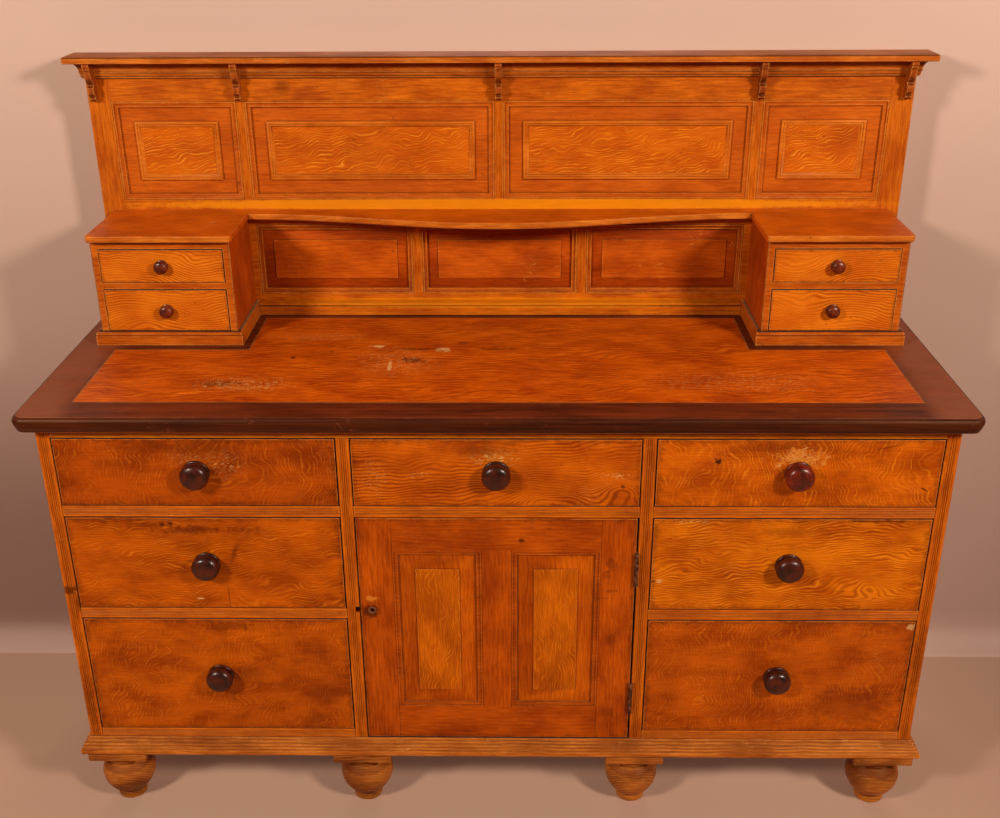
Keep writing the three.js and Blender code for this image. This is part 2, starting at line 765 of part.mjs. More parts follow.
// The cupboard door with its two fielded panels, the keyhole and the mortise of the lock.
function door(width, height) {
  const half = width / 2;
  const panelWidth = half - doorStile - doorMuntin / 2;
  const panelHeight = height - doorTopRail - doorBottomRail;
  const centres = [-1, 1].map((side) => (side * (panelWidth + doorMuntin)) / 2);
  const middle = doorBottomRail + panelHeight / 2;
  const frame = block([-half, 0, 0], [half, doorThickness, height]);
  const openings = centres.map((x) => block(
    [x - panelWidth / 2, -overrun, middle - panelHeight / 2],
    [x + panelWidth / 2, doorThickness + overrun, middle + panelHeight / 2],
  ));
  const panels = centres.map((x) => solid(
    fieldedPanel(panelWidth, panelHeight, doorPanel).translate(x, doorPanelThickness, middle),
  ));
  const tongues = centres.map((x) => block(
    [x - panelWidth / 2 - lap, doorPanelThickness / 2, middle - panelHeight / 2 - lap],
    [x + panelWidth / 2 + lap, doorPanelThickness, middle + panelHeight / 2 + lap],
  ));
  const keyhole = solid(new THREE.CylinderGeometry(
    keyholeRadius, keyholeRadius, keyholeDepth + overrun, keyholeFacets,
  ).translate(keyholeInset - half, (keyholeDepth - overrun) / 2, keyholeRise));
  const mortise = block(
    [-half - overrun, boltSetback - boltRunningGap, keyholeRise - boltHeight / 2 - boltRunningGap],
    [
      boltRunningGap + boltLength + seam - half,
      boltSetback + boltThickness + boltRunningGap,
      keyholeRise + boltHeight / 2 + boltRunningGap,
    ],
  );
  return cut(join(cut(frame, ...openings), ...panels, ...tongues), keyhole, mortise);
}

// The lock's bolt, drawn back flush with the door's edge.
function lockBolt() {
  return block(
    [seam, 0, -boltHeight / 2], [seam + boltLength, boltThickness, boltHeight / 2],
  );
}

// One knuckle of a hinge's barrel, as a tube with a bore.
function knuckle(bottom, top) {
  const height = top - bottom;
  const tube = new THREE.CylinderGeometry(barrelRadius, barrelRadius, height, barrelFacets);
  const bore = new THREE.CylinderGeometry(barrelBore, barrelBore, height + 2 * overrun, barrelFacets);
  const middle = (bottom + top) / 2;
  const [outer, inner] = [tube, bore]
    .map((piece) => solid(piece.rotateX(Math.PI / 2).translate(0, 0, middle)));
  return cut(outer, inner);
}

// A leaf beside the joint, from the barrel back between the door and the mullion.
function leaf(side, bottom, top) {
  const near = (side * leafGap) / 2;
  const far = side * (leafGap / 2 + leafThickness);
  const [from, to] = [Math.min(near, far), Math.max(near, far)];
  return block([from, (barrelBore + barrelRadius) / 2, bottom], [to, barrelRadius + leafDepth, top]);
}

// The fixed leaf with the outer knuckles and the pin, then the moving leaf with the middle one.
function hinge() {
  const half = leafLength / 2;
  const third = leafLength / 6;
  const pin = solid(new THREE.CylinderGeometry(pinRadius, pinRadius, leafLength, barrelFacets)
    .rotateX(Math.PI / 2));
  const caps = [[-half, lap - half], [half - lap, half]].map(([from, to]) => solid(
    new THREE.CylinderGeometry(barrelRadius, barrelRadius, to - from, barrelFacets)
      .rotateX(Math.PI / 2).translate(0, 0, (from + to) / 2),
  ));
  const outer = [[-half, -third], [third, half]].map(([from, to]) => knuckle(from, to));
  const clear = barrelRadius + seam;
  const relief = (from, to) => block([-clear, -clear, from], [clear, clear, to]);
  const fixed = join(cut(join(leaf(1, -half, half), ...outer), relief(-third, third)), pin, ...caps);
  const middle = join(leaf(-1, -half, half), knuckle(seam - third, third - seam));
  const moving = cut(middle, relief(-half - overrun, seam - third), relief(third - seam, half + overrun));
  return { fixed, moving };
}

function addChest(parent) {
  const chest = group(0, caseFront, 0);
  const half = gableInside - seam;
  const [columnFrom, columnTo] = [mullionOutside + seam, half];
  const sides = [["left", -1], ["right", 1]];
  sides.forEach(([name, side]) => {
    put(chest, `gable_${name}`, gable(side), "frame");
    put(chest, `partition_${name}`, partition(side), "frame");
    [["lower", lowerRailBottom], ["upper", upperRailBottom]].forEach(([level, bottom]) => {
      const [from, to] = side < 0 ? [-columnTo, -columnFrom] : [columnFrom, columnTo];
      const rail = reededRail(from, to, bottom, railHeight, railDepth);
      put(chest, `rail_${name}_${level}`, rail, "frame");
    });
  });
  put(chest, "base_board", baseBoard(), "frame");
  put(chest, "carcass_back", carcassBack(), "pine");
  put(chest, "top_rail", reededRail(-half, half, topRailBottom, topRailHeight - seam, railDepth), "frame");
  const inner = centreWidth / 2 - seam;
  put(chest, "rail_centre", reededRail(-inner, inner, upperRailBottom, railHeight, railDepth), "frame");
  parent.add(chest);
  return chest;
}

function addFeet(chest) {
  const y = footBlock / 2 - footBlockReach;
  const outer = caseWidth / 2 - footInset;
  const inner = (mullionOutside + centreWidth / 2) / 2;
  [["outer_left", -outer], ["inner_left", -inner], ["inner_right", inner], ["outer_right", outer]]
    .forEach(([name, x]) => put(chest, `foot_${name}`, foot(), "frame", [x, y, 0]));
}

function addLargeDrawers(chest) {
  [["left", -sideCentre], ["right", sideCentre]].forEach(([name, x]) => {
    [
      ["upper", upperOpening, upperDrawerHeight],
      ["middle", middleOpening, middleDrawerHeight],
      ["lower", bottomTop, lowerDrawerHeight],
    ].forEach(([level, z, height]) => addDrawer(
      chest, `drawer_${name}_${level}`, sideWidth, height, largeDrawer, [x, 0, z], knobRadius, knobReach,
    ));
  });
  addDrawer(
    chest, "drawer_centre", centreWidth, upperDrawerHeight, largeDrawer, [0, 0, upperOpening],
    knobRadius, knobReach,
  );
}

function addDoor(chest) {
  const hingeGap = 2 * (leafThickness + seam) + leafGap;
  const width = centreWidth - frontGap - hingeGap;
  const left = frontGap - centreWidth / 2;
  const bottom = doorBottom();
  const height = upperRailBottom - frontGap - bottom;
  const cupboard = group(left + width / 2, 0, bottom);
  put(cupboard, "door", door(width, height), "frame");
  put(cupboard, "lock_bolt", lockBolt(), "iron", [-width / 2, boltSetback, keyholeRise]);
  const axis = group((width + hingeGap) / 2, -barrelRadius - seam, 0);
  [["upper", height - upperHingeDrop], ["lower", lowerHingeRise]].forEach(([name, z]) => {
    const { fixed, moving } = hinge();
    put(axis, `hinge_${name}_fixed`, fixed, "iron", [0, 0, z]);
    put(axis, `hinge_${name}_moving`, moving, "iron", [0, 0, z]);
  });
  cupboard.add(axis);
  chest.add(cupboard);
}

function addBack(parent) {
  const back = group(0, backFace, worktopTop);
  put(back, "back_frame", backFrame(), "frame");
  upperOpenings().forEach(({ name, x, width, bottom, height }) => {
    const place = [x, panelThickness, bottom + height / 2];
    put(back, `panel_${name}`, ringedPanel(width, height), "panel", place);
  });
  put(back, "lower_panels", lowerPanels(), "panel");
  put(back, "cornice", cornice(), "frame");
  corbelPlaces().forEach((x, i) => {
    put(back, `corbel_${i + 1}`, corbel(), "frame", [x, -seam, backHeight - seam]);
  });
  parent.add(back);
}

function addBoxes(parent) {
  [["left", -boxCentre], ["right", boxCentre]].forEach(([name, x]) => {
    const box = group(x, backFace - boxDepth, worktopTop);
    put(box, `drawer_case_${name}`, drawerCase(), "frame");
    [
      ["lower", boxFloor, boxLowerDrawer],
      ["upper", boxFloor + boxLowerDrawer + boxMidRail, boxUpperDrawer],
    ].forEach(([level, z, height]) => addDrawer(
      box, `small_drawer_${name}_${level}`, boxWidth - 2 * boxWall, height, smallDrawer, [0, 0, z],
      smallKnobRadius, smallKnobReach,
    ));
    parent.add(box);
  });
}

const dresser = new THREE.Group();
const chest = addChest(dresser);
addFeet(chest);
addLargeDrawers(chest);
addDoor(chest);
put(dresser, "worktop", worktop(), "top", [0, caseFront - frontOverhang, caseTop]);
addBack(dresser);
addBoxes(dresser);
const shelfFront = backFace - boxDepth - shelfFrontReach;
put(dresser, "plate_shelf", plateShelf(), "top", [0, shelfFront, worktopTop + boxHeight]);

export default dresser;
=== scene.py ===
"""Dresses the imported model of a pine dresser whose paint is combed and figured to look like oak.

Every wooden piece is a merged copy of its CAD node with softened arrises. Knobs, feet and the
keyhole's ring are surfaces worked out here. Lengths are metres in the frame of the CAD: x runs
to the right, y to the wall, and z up from the floor.
"""

from __future__ import annotations

import json
import logging
import math
from dataclasses import dataclass, field, replace
from enum import Enum

import bmesh
import bpy
import numpy as np
from mathutils import Matrix, Vector


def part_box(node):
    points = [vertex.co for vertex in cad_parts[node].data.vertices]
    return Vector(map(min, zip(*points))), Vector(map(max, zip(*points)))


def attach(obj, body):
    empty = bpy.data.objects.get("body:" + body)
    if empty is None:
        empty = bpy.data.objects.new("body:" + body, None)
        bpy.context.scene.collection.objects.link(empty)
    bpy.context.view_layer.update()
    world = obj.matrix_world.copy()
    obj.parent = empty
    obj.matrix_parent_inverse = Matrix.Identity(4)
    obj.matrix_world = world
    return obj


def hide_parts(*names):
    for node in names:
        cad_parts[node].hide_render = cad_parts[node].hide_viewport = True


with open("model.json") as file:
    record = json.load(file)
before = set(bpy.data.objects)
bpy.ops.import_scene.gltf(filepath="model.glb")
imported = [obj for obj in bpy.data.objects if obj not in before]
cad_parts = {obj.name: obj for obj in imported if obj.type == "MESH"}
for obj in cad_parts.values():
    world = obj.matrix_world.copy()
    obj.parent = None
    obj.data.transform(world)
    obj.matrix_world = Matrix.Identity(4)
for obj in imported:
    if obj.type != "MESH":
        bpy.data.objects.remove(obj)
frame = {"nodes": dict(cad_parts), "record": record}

Colour = tuple[float, float, float, float]
Point = tuple[float, float, float]
Node = bpy.types.Node
Value = "Term | float | tuple"

LOG = logging.getLogger("dresser")
CASE_FRONT = -0.2485
BACK_FACE = 0.2575
BOX_FRONT = 0.073
TOP = 0.9045
ORIGIN = (0.0, 0.0, 0.0)
FAR = 9.0
ARRIS_WIDTH = 0.0009
SHORTEST_ARRIS = 0.004
SHARP_ARRIS = math.radians(48)
FLAT = math.radians(0.4)
CRISP_COPY = math.radians(34)
CRISP_SURFACE = math.radians(40)
PROFILE_STEPS = 4
TURNED_SIDES = 72


def tone(red: float, green: float, blue: float) -> Colour:
    """A colour given as a screen shows it, 0 to 255, as linear light.

    Args:
        red: the red share.
        green: the green share.
        blue: the blue share.

    Returns:
        Linear red, green, blue and a full alpha.
    """
    shares = np.array([red, green, blue]) / 255
    linear = np.where(shares <= 0.04045, shares / 12.92, ((shares + 0.055) / 1.055) ** 2.4)
    return (*map(float, linear), 1.0)


class Term:
    """A socket in a graph. Sums written with terms become Math nodes."""

    def __init__(self, graph: Graph, socket: bpy.types.NodeSocket) -> None:
        """Keeps the socket with the graph that holds it."""
        self.graph, self.socket = graph, socket

    def __add__(self, other: Value) -> Term:
        """This number plus another."""
        return self.graph.math("ADD", self, other)

    def __mul__(self, other: Value) -> Term:
        """This number times another."""
        return self.graph.math("MULTIPLY", self, other)

    def __sub__(self, other: Value) -> Term:
        """This number less another."""
        return self.graph.math("SUBTRACT", self, other)

    def __rsub__(self, other: Value) -> Term:
        """Another number less this one."""
        return self.graph.math("SUBTRACT", other, self)

    def __abs__(self) -> Term:
        """This number without its sign."""
        return self.graph.math("ABSOLUTE", self)


class Graph:
    """A shader node tree, with short calls for the nodes that the finishes use."""

    def __init__(self, tree: bpy.types.NodeTree) -> None:
        """Starts on an empty or a new tree."""
        self.tree = tree

    def add(self, kind: str, **settings: object) -> Node:
        """Adds a node.

        Args:
            kind: the node's type without its ShaderNode prefix.
            settings: the node's own properties.

        Returns:
            The new node.
        """
        node = self.tree.nodes.new("ShaderNode" + kind)
        for name, value in settings.items():
            setattr(node, name, value)
        return node

    def feed(self, node: Node, inputs: dict[str | int, Value]) -> Node:
        """Links or sets a node's inputs.

        Args:
            node: the node.
            inputs: a term or a plain value for each input, by its name or number.

        Returns:
            The same node.
        """
        for key, value in inputs.items():
            if isinstance(value, Term):
                self.tree.links.new(value.socket, node.inputs[key])
            else:
                node.inputs[key].default_value = value
        return node

    def out(self, node: Node, key: str | int = 0) -> Term:
        """An output of a node."""
        return Term(self, node.outputs[key])

    def math(self, operation: str, *values: Value) -> Term:
        """A Math node, from Blender's name for the sum and its numbers."""
        return self.out(self.feed(self.add("Math", operation=operation), dict(enumerate(values))))

    def move(self, operation: str, *values: Value) -> Term:
        """A Vector Math node, which gives a number for a length or a dot product."""
        node = self.feed(self.add("VectorMath", operation=operation), dict(enumerate(values)))
        return self.out(node, "Value" if operation in ("LENGTH", "DOT_PRODUCT") else "Vector")

    def split(self, vector: Value) -> list[Term]:
        """The three numbers of a vector."""
        node = self.feed(self.add("SeparateXYZ"), {0: vector})
        return [self.out(node, number) for number in range(3)]

    def vector(self, *values: Value) -> Term:
        """A vector from two or three numbers."""
        return self.out(self.feed(self.add("CombineXYZ"), dict(enumerate(values))))

    def noise(self, place: Value, scale: float = 1.0, detail: float = 2.0, rough: float = 0.5) -> Term:
        """Cloudy noise about a half.

        Args:
            place: where it is read, as a vector or as its numbers.
            scale: how many features fit in a metre.
            detail: how many finer layers it has.
            rough: how strong the finer layers are.

        Returns:
            The noise.
        """
        place = self.vector(*place) if isinstance(place, tuple) else place
        settings = {"Vector": place, "Scale": scale, "Detail": detail, "Roughness": rough}
        return self.out(self.feed(self.add("TexNoise"), settings), "Fac")

    def ease(self, value: Value, low: Value, high: Value, bottom: float = 0.0, top: float = 1.0) -> Term:
        """A soft step of a number, from bottom at low to top at high. Low may lie above high."""
        node = self.add("MapRange", interpolation_type="SMOOTHSTEP")
        return self.out(self.feed(node, dict(enumerate((value, low, high, bottom, top)))))

    def blend(self, share: Value, first: Value, second: Value, mode: str = "MIX") -> Term:
        """Two colours mixed: the share tells how much of the second shows over the first."""
        node = self.add("Mix", data_type="RGBA", blend_type=mode)
        return self.out(self.feed(node, {0: share, 6: first, 7: second}), 2)

    def tint(self, colour: Value, shade: Value) -> Term:
        """A colour multiplied by another."""
        return self.blend(1.0, colour, shade, "MULTIPLY")

    def effect(self, name: str, **inputs: Value) -> dict[str, Term]:
        """The outputs of a shared effect by name, from the inputs that differ from their usual values."""
        node = self.feed(self.add("Group", node_tree=bpy.data.node_groups[name]), inputs)
        return {socket.name: Term(self, socket) for socket in node.outputs}

    def relief(self, shader: Node, height: Value, strength: float, distance: float) -> None:
        """Gives a shader a bump from a height."""
        bump = self.feed(self.add("Bump"), {"Strength": strength, "Distance": distance, "Height": height})
        self.feed(shader, {"Normal": self.out(bump)})


class Effect(Graph):
    """A shared shader node group with named inputs and outputs, of which finishes use many."""

    def __init__(self, name: str, inputs: dict[str, Value], outputs: tuple[str, ...]) -> None:
        """Makes the empty group.

        Args:
            name: its name.
            inputs: the usual value of each input, whose size tells its kind.
            outputs: the outputs, of which Color is a colour and any other a number.
        """
        super().__init__(bpy.data.node_groups.new(name, "ShaderNodeTree"))
        socket_of = self.tree.interface.new_socket
        for title, usual in inputs.items():
            kind = {1: "Float", 3: "Vector", 4: "Color"}[np.size(usual)]
            socket_of(title, in_out="INPUT", socket_type="NodeSocket" + kind).default_value = usual
        for title in outputs:
            kind = "Color" if title == "Color" else "Float"
            socket_of(title, in_out="OUTPUT", socket_type="NodeSocket" + kind)
        source = self.tree.nodes.new("NodeGroupInput")
        self.sink = self.tree.nodes.new("NodeGroupOutput")
        self.given = {socket.name: Term(self, socket) for socket in source.outputs if socket.name}

    def give(self, **outputs: Value) -> None:
        """Links the group's outputs."""
        self.feed(self.sink, outputs)


class Effects:
    """Builds every shared effect once."""

    def build(self) -> None:
        """Makes the groups."""
        for make in (self.graining, self.edges, self.spot, self.rim, self.scratches, self.grime):
            make()

    def graining(self) -> None:
        """The painter's oak: combed lines and bright strokes over a mottled ground.

        A height rises across the grain and is bent by clouds, by swirls and by knots. Its level
        lines, a pitch apart, are the figure. Dark lines follow them, and the bright strokes are
        thin stretches of them, half a pitch away from the dark ones.
        """
        nowhere, reach = (9, 9, 0), (1, 1, 1)
        g = Effect("Oak graining", {
            "Place": ORIGIN, "Seed": 0.0, "Slope": 0.0, "Pitch": 0.008, "Wave": 2.0, "Swirl": 1.0,
            "Tremor": 0.2, "Stroke": 0.3, "Knot A": nowhere, "Reach A": reach, "Knot B": nowhere,
            "Reach B": reach, "Deep": (0.3, 0.04, 0.003, 1), "Body": (0.42, 0.07, 0.005, 1),
            "Bright": (0.6, 0.15, 0.02, 1), "Lines": 0.3, "Flakes": 0.4, "Fibre": 0.5, "Hair": 330.0,
        }, ("Color", "Height"))
        given, seed = g.given, g.given["Seed"]
        along, across, _ = g.split(given["Place"])
        cosine, sine = g.math("COSINE", given["Slope"]), g.math("SINE", given["Slope"])
        run = along * cosine + across * sine
        height = g.math("DIVIDE", across * cosine - along * sine, given["Pitch"])
        for rate_along, rate_across, share, shift in (
            (5.0, 11.0, "Wave", 0.0), (17.0, 24.0, "Swirl", 21.0), (60.0, 75.0, "Tremor", 3.0),
        ):
            cloud = g.noise((along * rate_along, across * rate_across, seed + shift), detail=1.0)
            height = height + (cloud - 0.5) * given[share] * 2.0
        for letter in "AB":
            offset = g.move("SUBTRACT", g.vector(along, across), given["Knot " + letter])
            off_x, off_y, lines = g.split(g.move("DIVIDE", offset, given["Reach " + letter]))
            height = height - g.math("EXPONENT", (off_x * off_x + off_y * off_y) * -1.0) * lines
        wave = g.math("SINE", height * (2 * math.pi))
        patches = g.ease(g.noise((along * 7.0, across * 12.0, seed + 9.0)), 0.38, 0.62, 0.35)
        dark = g.ease(wave, -0.1, 0.8) * patches * given["Lines"]
        breaks = g.ease(g.noise((run * 34.0, height * 0.8, seed + 7.0)), 0.42, 0.62)
        flake = g.ease(wave, given["Stroke"] * -1.5, -0.95) * breaks * (patches + 0.1) * given["Flakes"]
        ground = g.noise((along * 9.0, across * 16.0, seed + 5.0), 1.0, 4.0, 0.55)
        colour = g.blend(g.ease(ground, 0.32, 0.66), given["Deep"], given["Body"])
        colour = g.blend(flake, colour, given["Bright"])
        colour = g.blend(dark, colour, g.tint(colour, (0.48, 0.32, 0.16, 1)))
        hairs = g.noise((along * 22.0, across * given["Hair"], seed), 1.0, 3.0, 0.65)
        combed = g.ease(hairs, 0.36, 0.64)
        toned = g.tint(colour, g.blend(combed, (0.78, 0.7, 0.6, 1), (1.12, 1.15, 1.2, 1)))
        g.give(Color=g.blend(given["Fibre"], colour, toned), Height=combed * 0.5 + flake * 0.4 + dark * -0.4)

    def edges(self) -> None:
        """Where a piece's own arrises stand out and its corners lie deep."""
        g = Effect("Edges", {"Reach": 0.0035, "Place": ORIGIN, "Ragged": 0.5}, ("Worn", "Hollow"))
        loose = (g.noise(g.given["Place"], 60.0, 3.0, 0.7) - 0.5) * g.given["Ragged"] * 1.6
        for title, inside, added, low in (("Worn", True, loose, 0.24), ("Hollow", False, 0.0, 0.1)):
            node = g.add("AmbientOcclusion", inside=inside, only_local=True, samples=5)
            closed = 1.0 - g.out(g.feed(node, {"Distance": g.given["Reach"]}), "AO")
            g.give(**{title: g.ease(closed + added, low, 0.5)})

    def spot(self) -> None:
        """A placed mark: full at its centre and gone at its reach, with a ragged rim."""
        g = Effect("Spot", {
            "Place": ORIGIN, "Centre": ORIGIN, "Reach": (1, 1, 1), "Turn": 0.0, "Ragged": 0.5, "Soft": 0.5,
        }, ("Mask", "Ring"))
        given = g.given
        x, y, z = g.split(g.move("SUBTRACT", given["Place"], given["Centre"]))
        cosine, sine = g.math("COSINE", given["Turn"]), g.math("SINE", given["Turn"])
        turned = g.vector(x * cosine + z * sine, y, z * cosine - x * sine)
        away = g.move("LENGTH", g.move("DIVIDE", turned, given["Reach"]))
        far = away + (g.noise(given["Place"], 95.0, 3.0, 0.65) - 0.5) * given["Ragged"] * 2.0
        g.give(Mask=g.ease(far, 1.0, 1.0 - given["Soft"]), Ring=g.ease(abs(far - 0.85), 0.18, 0.02))

    def rim(self) -> None:
        """The border of an upright rectangle: a ragged margin inside its edge, and its worn arris."""
        g = Effect("Rim", {
            "Place": ORIGIN, "Centre": ORIGIN, "Half": (1, 1, 1), "Width": 0.004, "Ragged": 1.0,
        }, ("Margin", "Arris"))
        given = g.given
        offset = g.move("SUBTRACT", given["Place"], given["Centre"])
        room_x, _, room_z = g.split(g.move("SUBTRACT", given["Half"], g.move("ABSOLUTE", offset)))
        room = g.math("MINIMUM", room_x, room_z)
        loose = (g.noise(given["Place"], 70.0, 4.0, 0.7) - 0.5) * given["Ragged"] * given["Width"] * 3.0
        broken = g.ease(g.noise(given["Place"], 42.0, 3.0, 0.65), 0.36, 0.56)
        g.give(Margin=g.ease(room + loose, given["Width"], 0.0), Arris=g.ease(room, 0.0017, 0.0006) * broken)

    def scratches(self) -> None:
        """Fine scratches that run both ways, in patches, and short flecks everywhere."""
        g = Effect("Scratches", {"Place": ORIGIN, "Amount": 0.5}, ("Mask", "Flecks"))
        x, y, z = g.split(g.given["Place"])
        level = z + y
        found, short = [], []
        for tilt, shift in ((0.35, 0.0), (-1.3, 4.0)):
            run, rise = x + level * tilt, level - x * tilt
            long = g.noise((run * 9.0, rise * 130.0, shift), detail=1.0)
            found.append(g.ease(abs(long - 0.5), 0.006, 0.002))
            short.append(g.ease(g.noise((run * 75.0, rise * 430.0, shift), detail=1.0), 0.6, 0.68))
        patch = g.ease(g.noise(g.given["Place"], 13.0, 3.0, 0.7), 0.56, 0.68)
        g.give(Mask=g.math("MAXIMUM", *found) * patch * g.given["Amount"], Flecks=g.math("MAXIMUM", *short))

    def grime(self) -> None:
        """Handling grime in broad clouds, and small dark specks."""
        g = Effect("Grime", {"Place": ORIGIN, "Seed": 0.0}, ("Cloud", "Speck"))
        seed = g.given["Seed"]
        shifted = g.move("ADD", g.given["Place"], g.vector(seed * 3.1, 0.0, seed * 1.7))
        specks = g.ease(g.noise(shifted, 210.0, 1.0), 0.69, 0.76) * g.ease(g.noise(shifted, 14.0), 0.48, 0.62)
        g.give(Cloud=g.ease(g.noise(shifted, 5.5, 5.0, 0.62), 0.46, 0.74), Speck=specks)


class Grain(Enum):
    """Which way the wood of a piece runs: the vectors that give the place along and across it."""

    ACROSS_THE_FRONT = ((1, 0, 0), (0, 1, 1))
    UPRIGHT = ((0, 0, 1), (1, 1, 0))
    FRONT_TO_BACK = ((0, 1, 0), (1, 0, 1))


class Trace(Enum):
    """What a mark does to the finish: the colour it leaves, and its form."""

    STAIN = (tone(52, 14, 2), "Mask")
    RUBBED = (tone(212, 120, 36), "Mask")
    GOLD = (tone(236, 138, 10), "Mask")
    BARE = (tone(220, 164, 96), "Mask")
    FLECKS = (tone(226, 164, 90), "Flecks")
    SHADE = (tone(96, 30, 3), "Mask")
    RING = (tone(112, 46, 8), "Ring")


STAIN, RUBBED, GOLD, BARE, FLECKS, SHADE, RING = Trace


@dataclass(frozen=True)
class Mark:
    """One placed mark, centred in the frame of the CAD: mostly a trace of use, though a few are painted light and
    painted shade.
    """

    trace: Trace
    centre: Point
    reach: Point
    strength: float = 0.8
    ragged: float = 0.6
    soft: float = 0.6
    turn: float = 0.0


def marks_on(front: float, rows: tuple[tuple, ...], deep: float = 0.02) -> tuple[Mark, ...]:
    """The marks of a face at one y, from rows of trace, x, z, reach in x and in z, and further fields."""
    return tuple(
        Mark(trace, (x, front, z), (wide, deep, high), *rest) for trace, x, z, wide, high, *rest in rows
    )


@dataclass(frozen=True)
class Figure:
    """The pattern of a grained surface.

    A knot is given by its place along and across, its reach along and across, and how many
    lines bend round it.
    """

    slope: float = 0.0
    pitch: float = 0.008
    wave: float = 2.0
    swirl: float = 1.0
    lines: float = 0.3
    flakes: float = 0.35
    fibre: float = 0.6
    seed: float = 0.0
    knots: tuple[tuple[float, float, float, float, float], ...] = ()
    hair: float = 330.0
    tremor: float = 0.12
    stroke: float = 0.35


@dataclass(frozen=True)
class Upright:
    """A stile or muntin within a frame: its middle and half width in x, and its lower and upper ends."""

    middle: float
    half: float
    low: float = 0.0
    high: float = FAR


@dataclass(frozen=True)
class Border:
    """The edge of a front that hands and rubbing have darkened: its rectangle in x and z."""

    centre: tuple[float, float]
    half: tuple[float, float]
    width: float
    dark: float = 0.4
    arris: float = 0.75

    @classmethod
    def of(cls, node: str, width: float) -> Border:
        """The border of a node's front."""
        low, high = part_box(node)
        return cls(((low.x + high.x) / 2, (low.z + high.z) / 2), ((high.x - low.x) / 2, (high.z - low.z) / 2), width)


def new_material(name: str) -> tuple[bpy.types.Material, Graph, Node]:
    """A new material with a Principled shader.

    Args:
        name: the material's name.

    Returns:
        The material, its graph and its shader node.
    """
    made = bpy.data.materials.new(name)
    made.use_nodes = True
    made.node_tree.nodes.clear()
    g = Graph(made.node_tree)
    shader = g.add("BsdfPrincipled")
    g.feed(g.add("OutputMaterial"), {"Surface": g.out(shader)})
    return made, g, shader


@dataclass(frozen=True)
class Finish:
    """A material that is made once for each name."""

    name: str

    def paint(self, g: Graph, shader: Node, source: Node) -> None:
        """Builds the material from its graph, its Principled shader and its texture coordinates."""
        raise NotImplementedError

    def material(self) -> bpy.types.Material:
        """The finish's material, built when it is first asked for."""
        made = bpy.data.materials.get(self.name)
        if made is None:
            made, g, shader = new_material(self.name)
            self.paint(g, shader, g.add("TexCoord"))
        return made


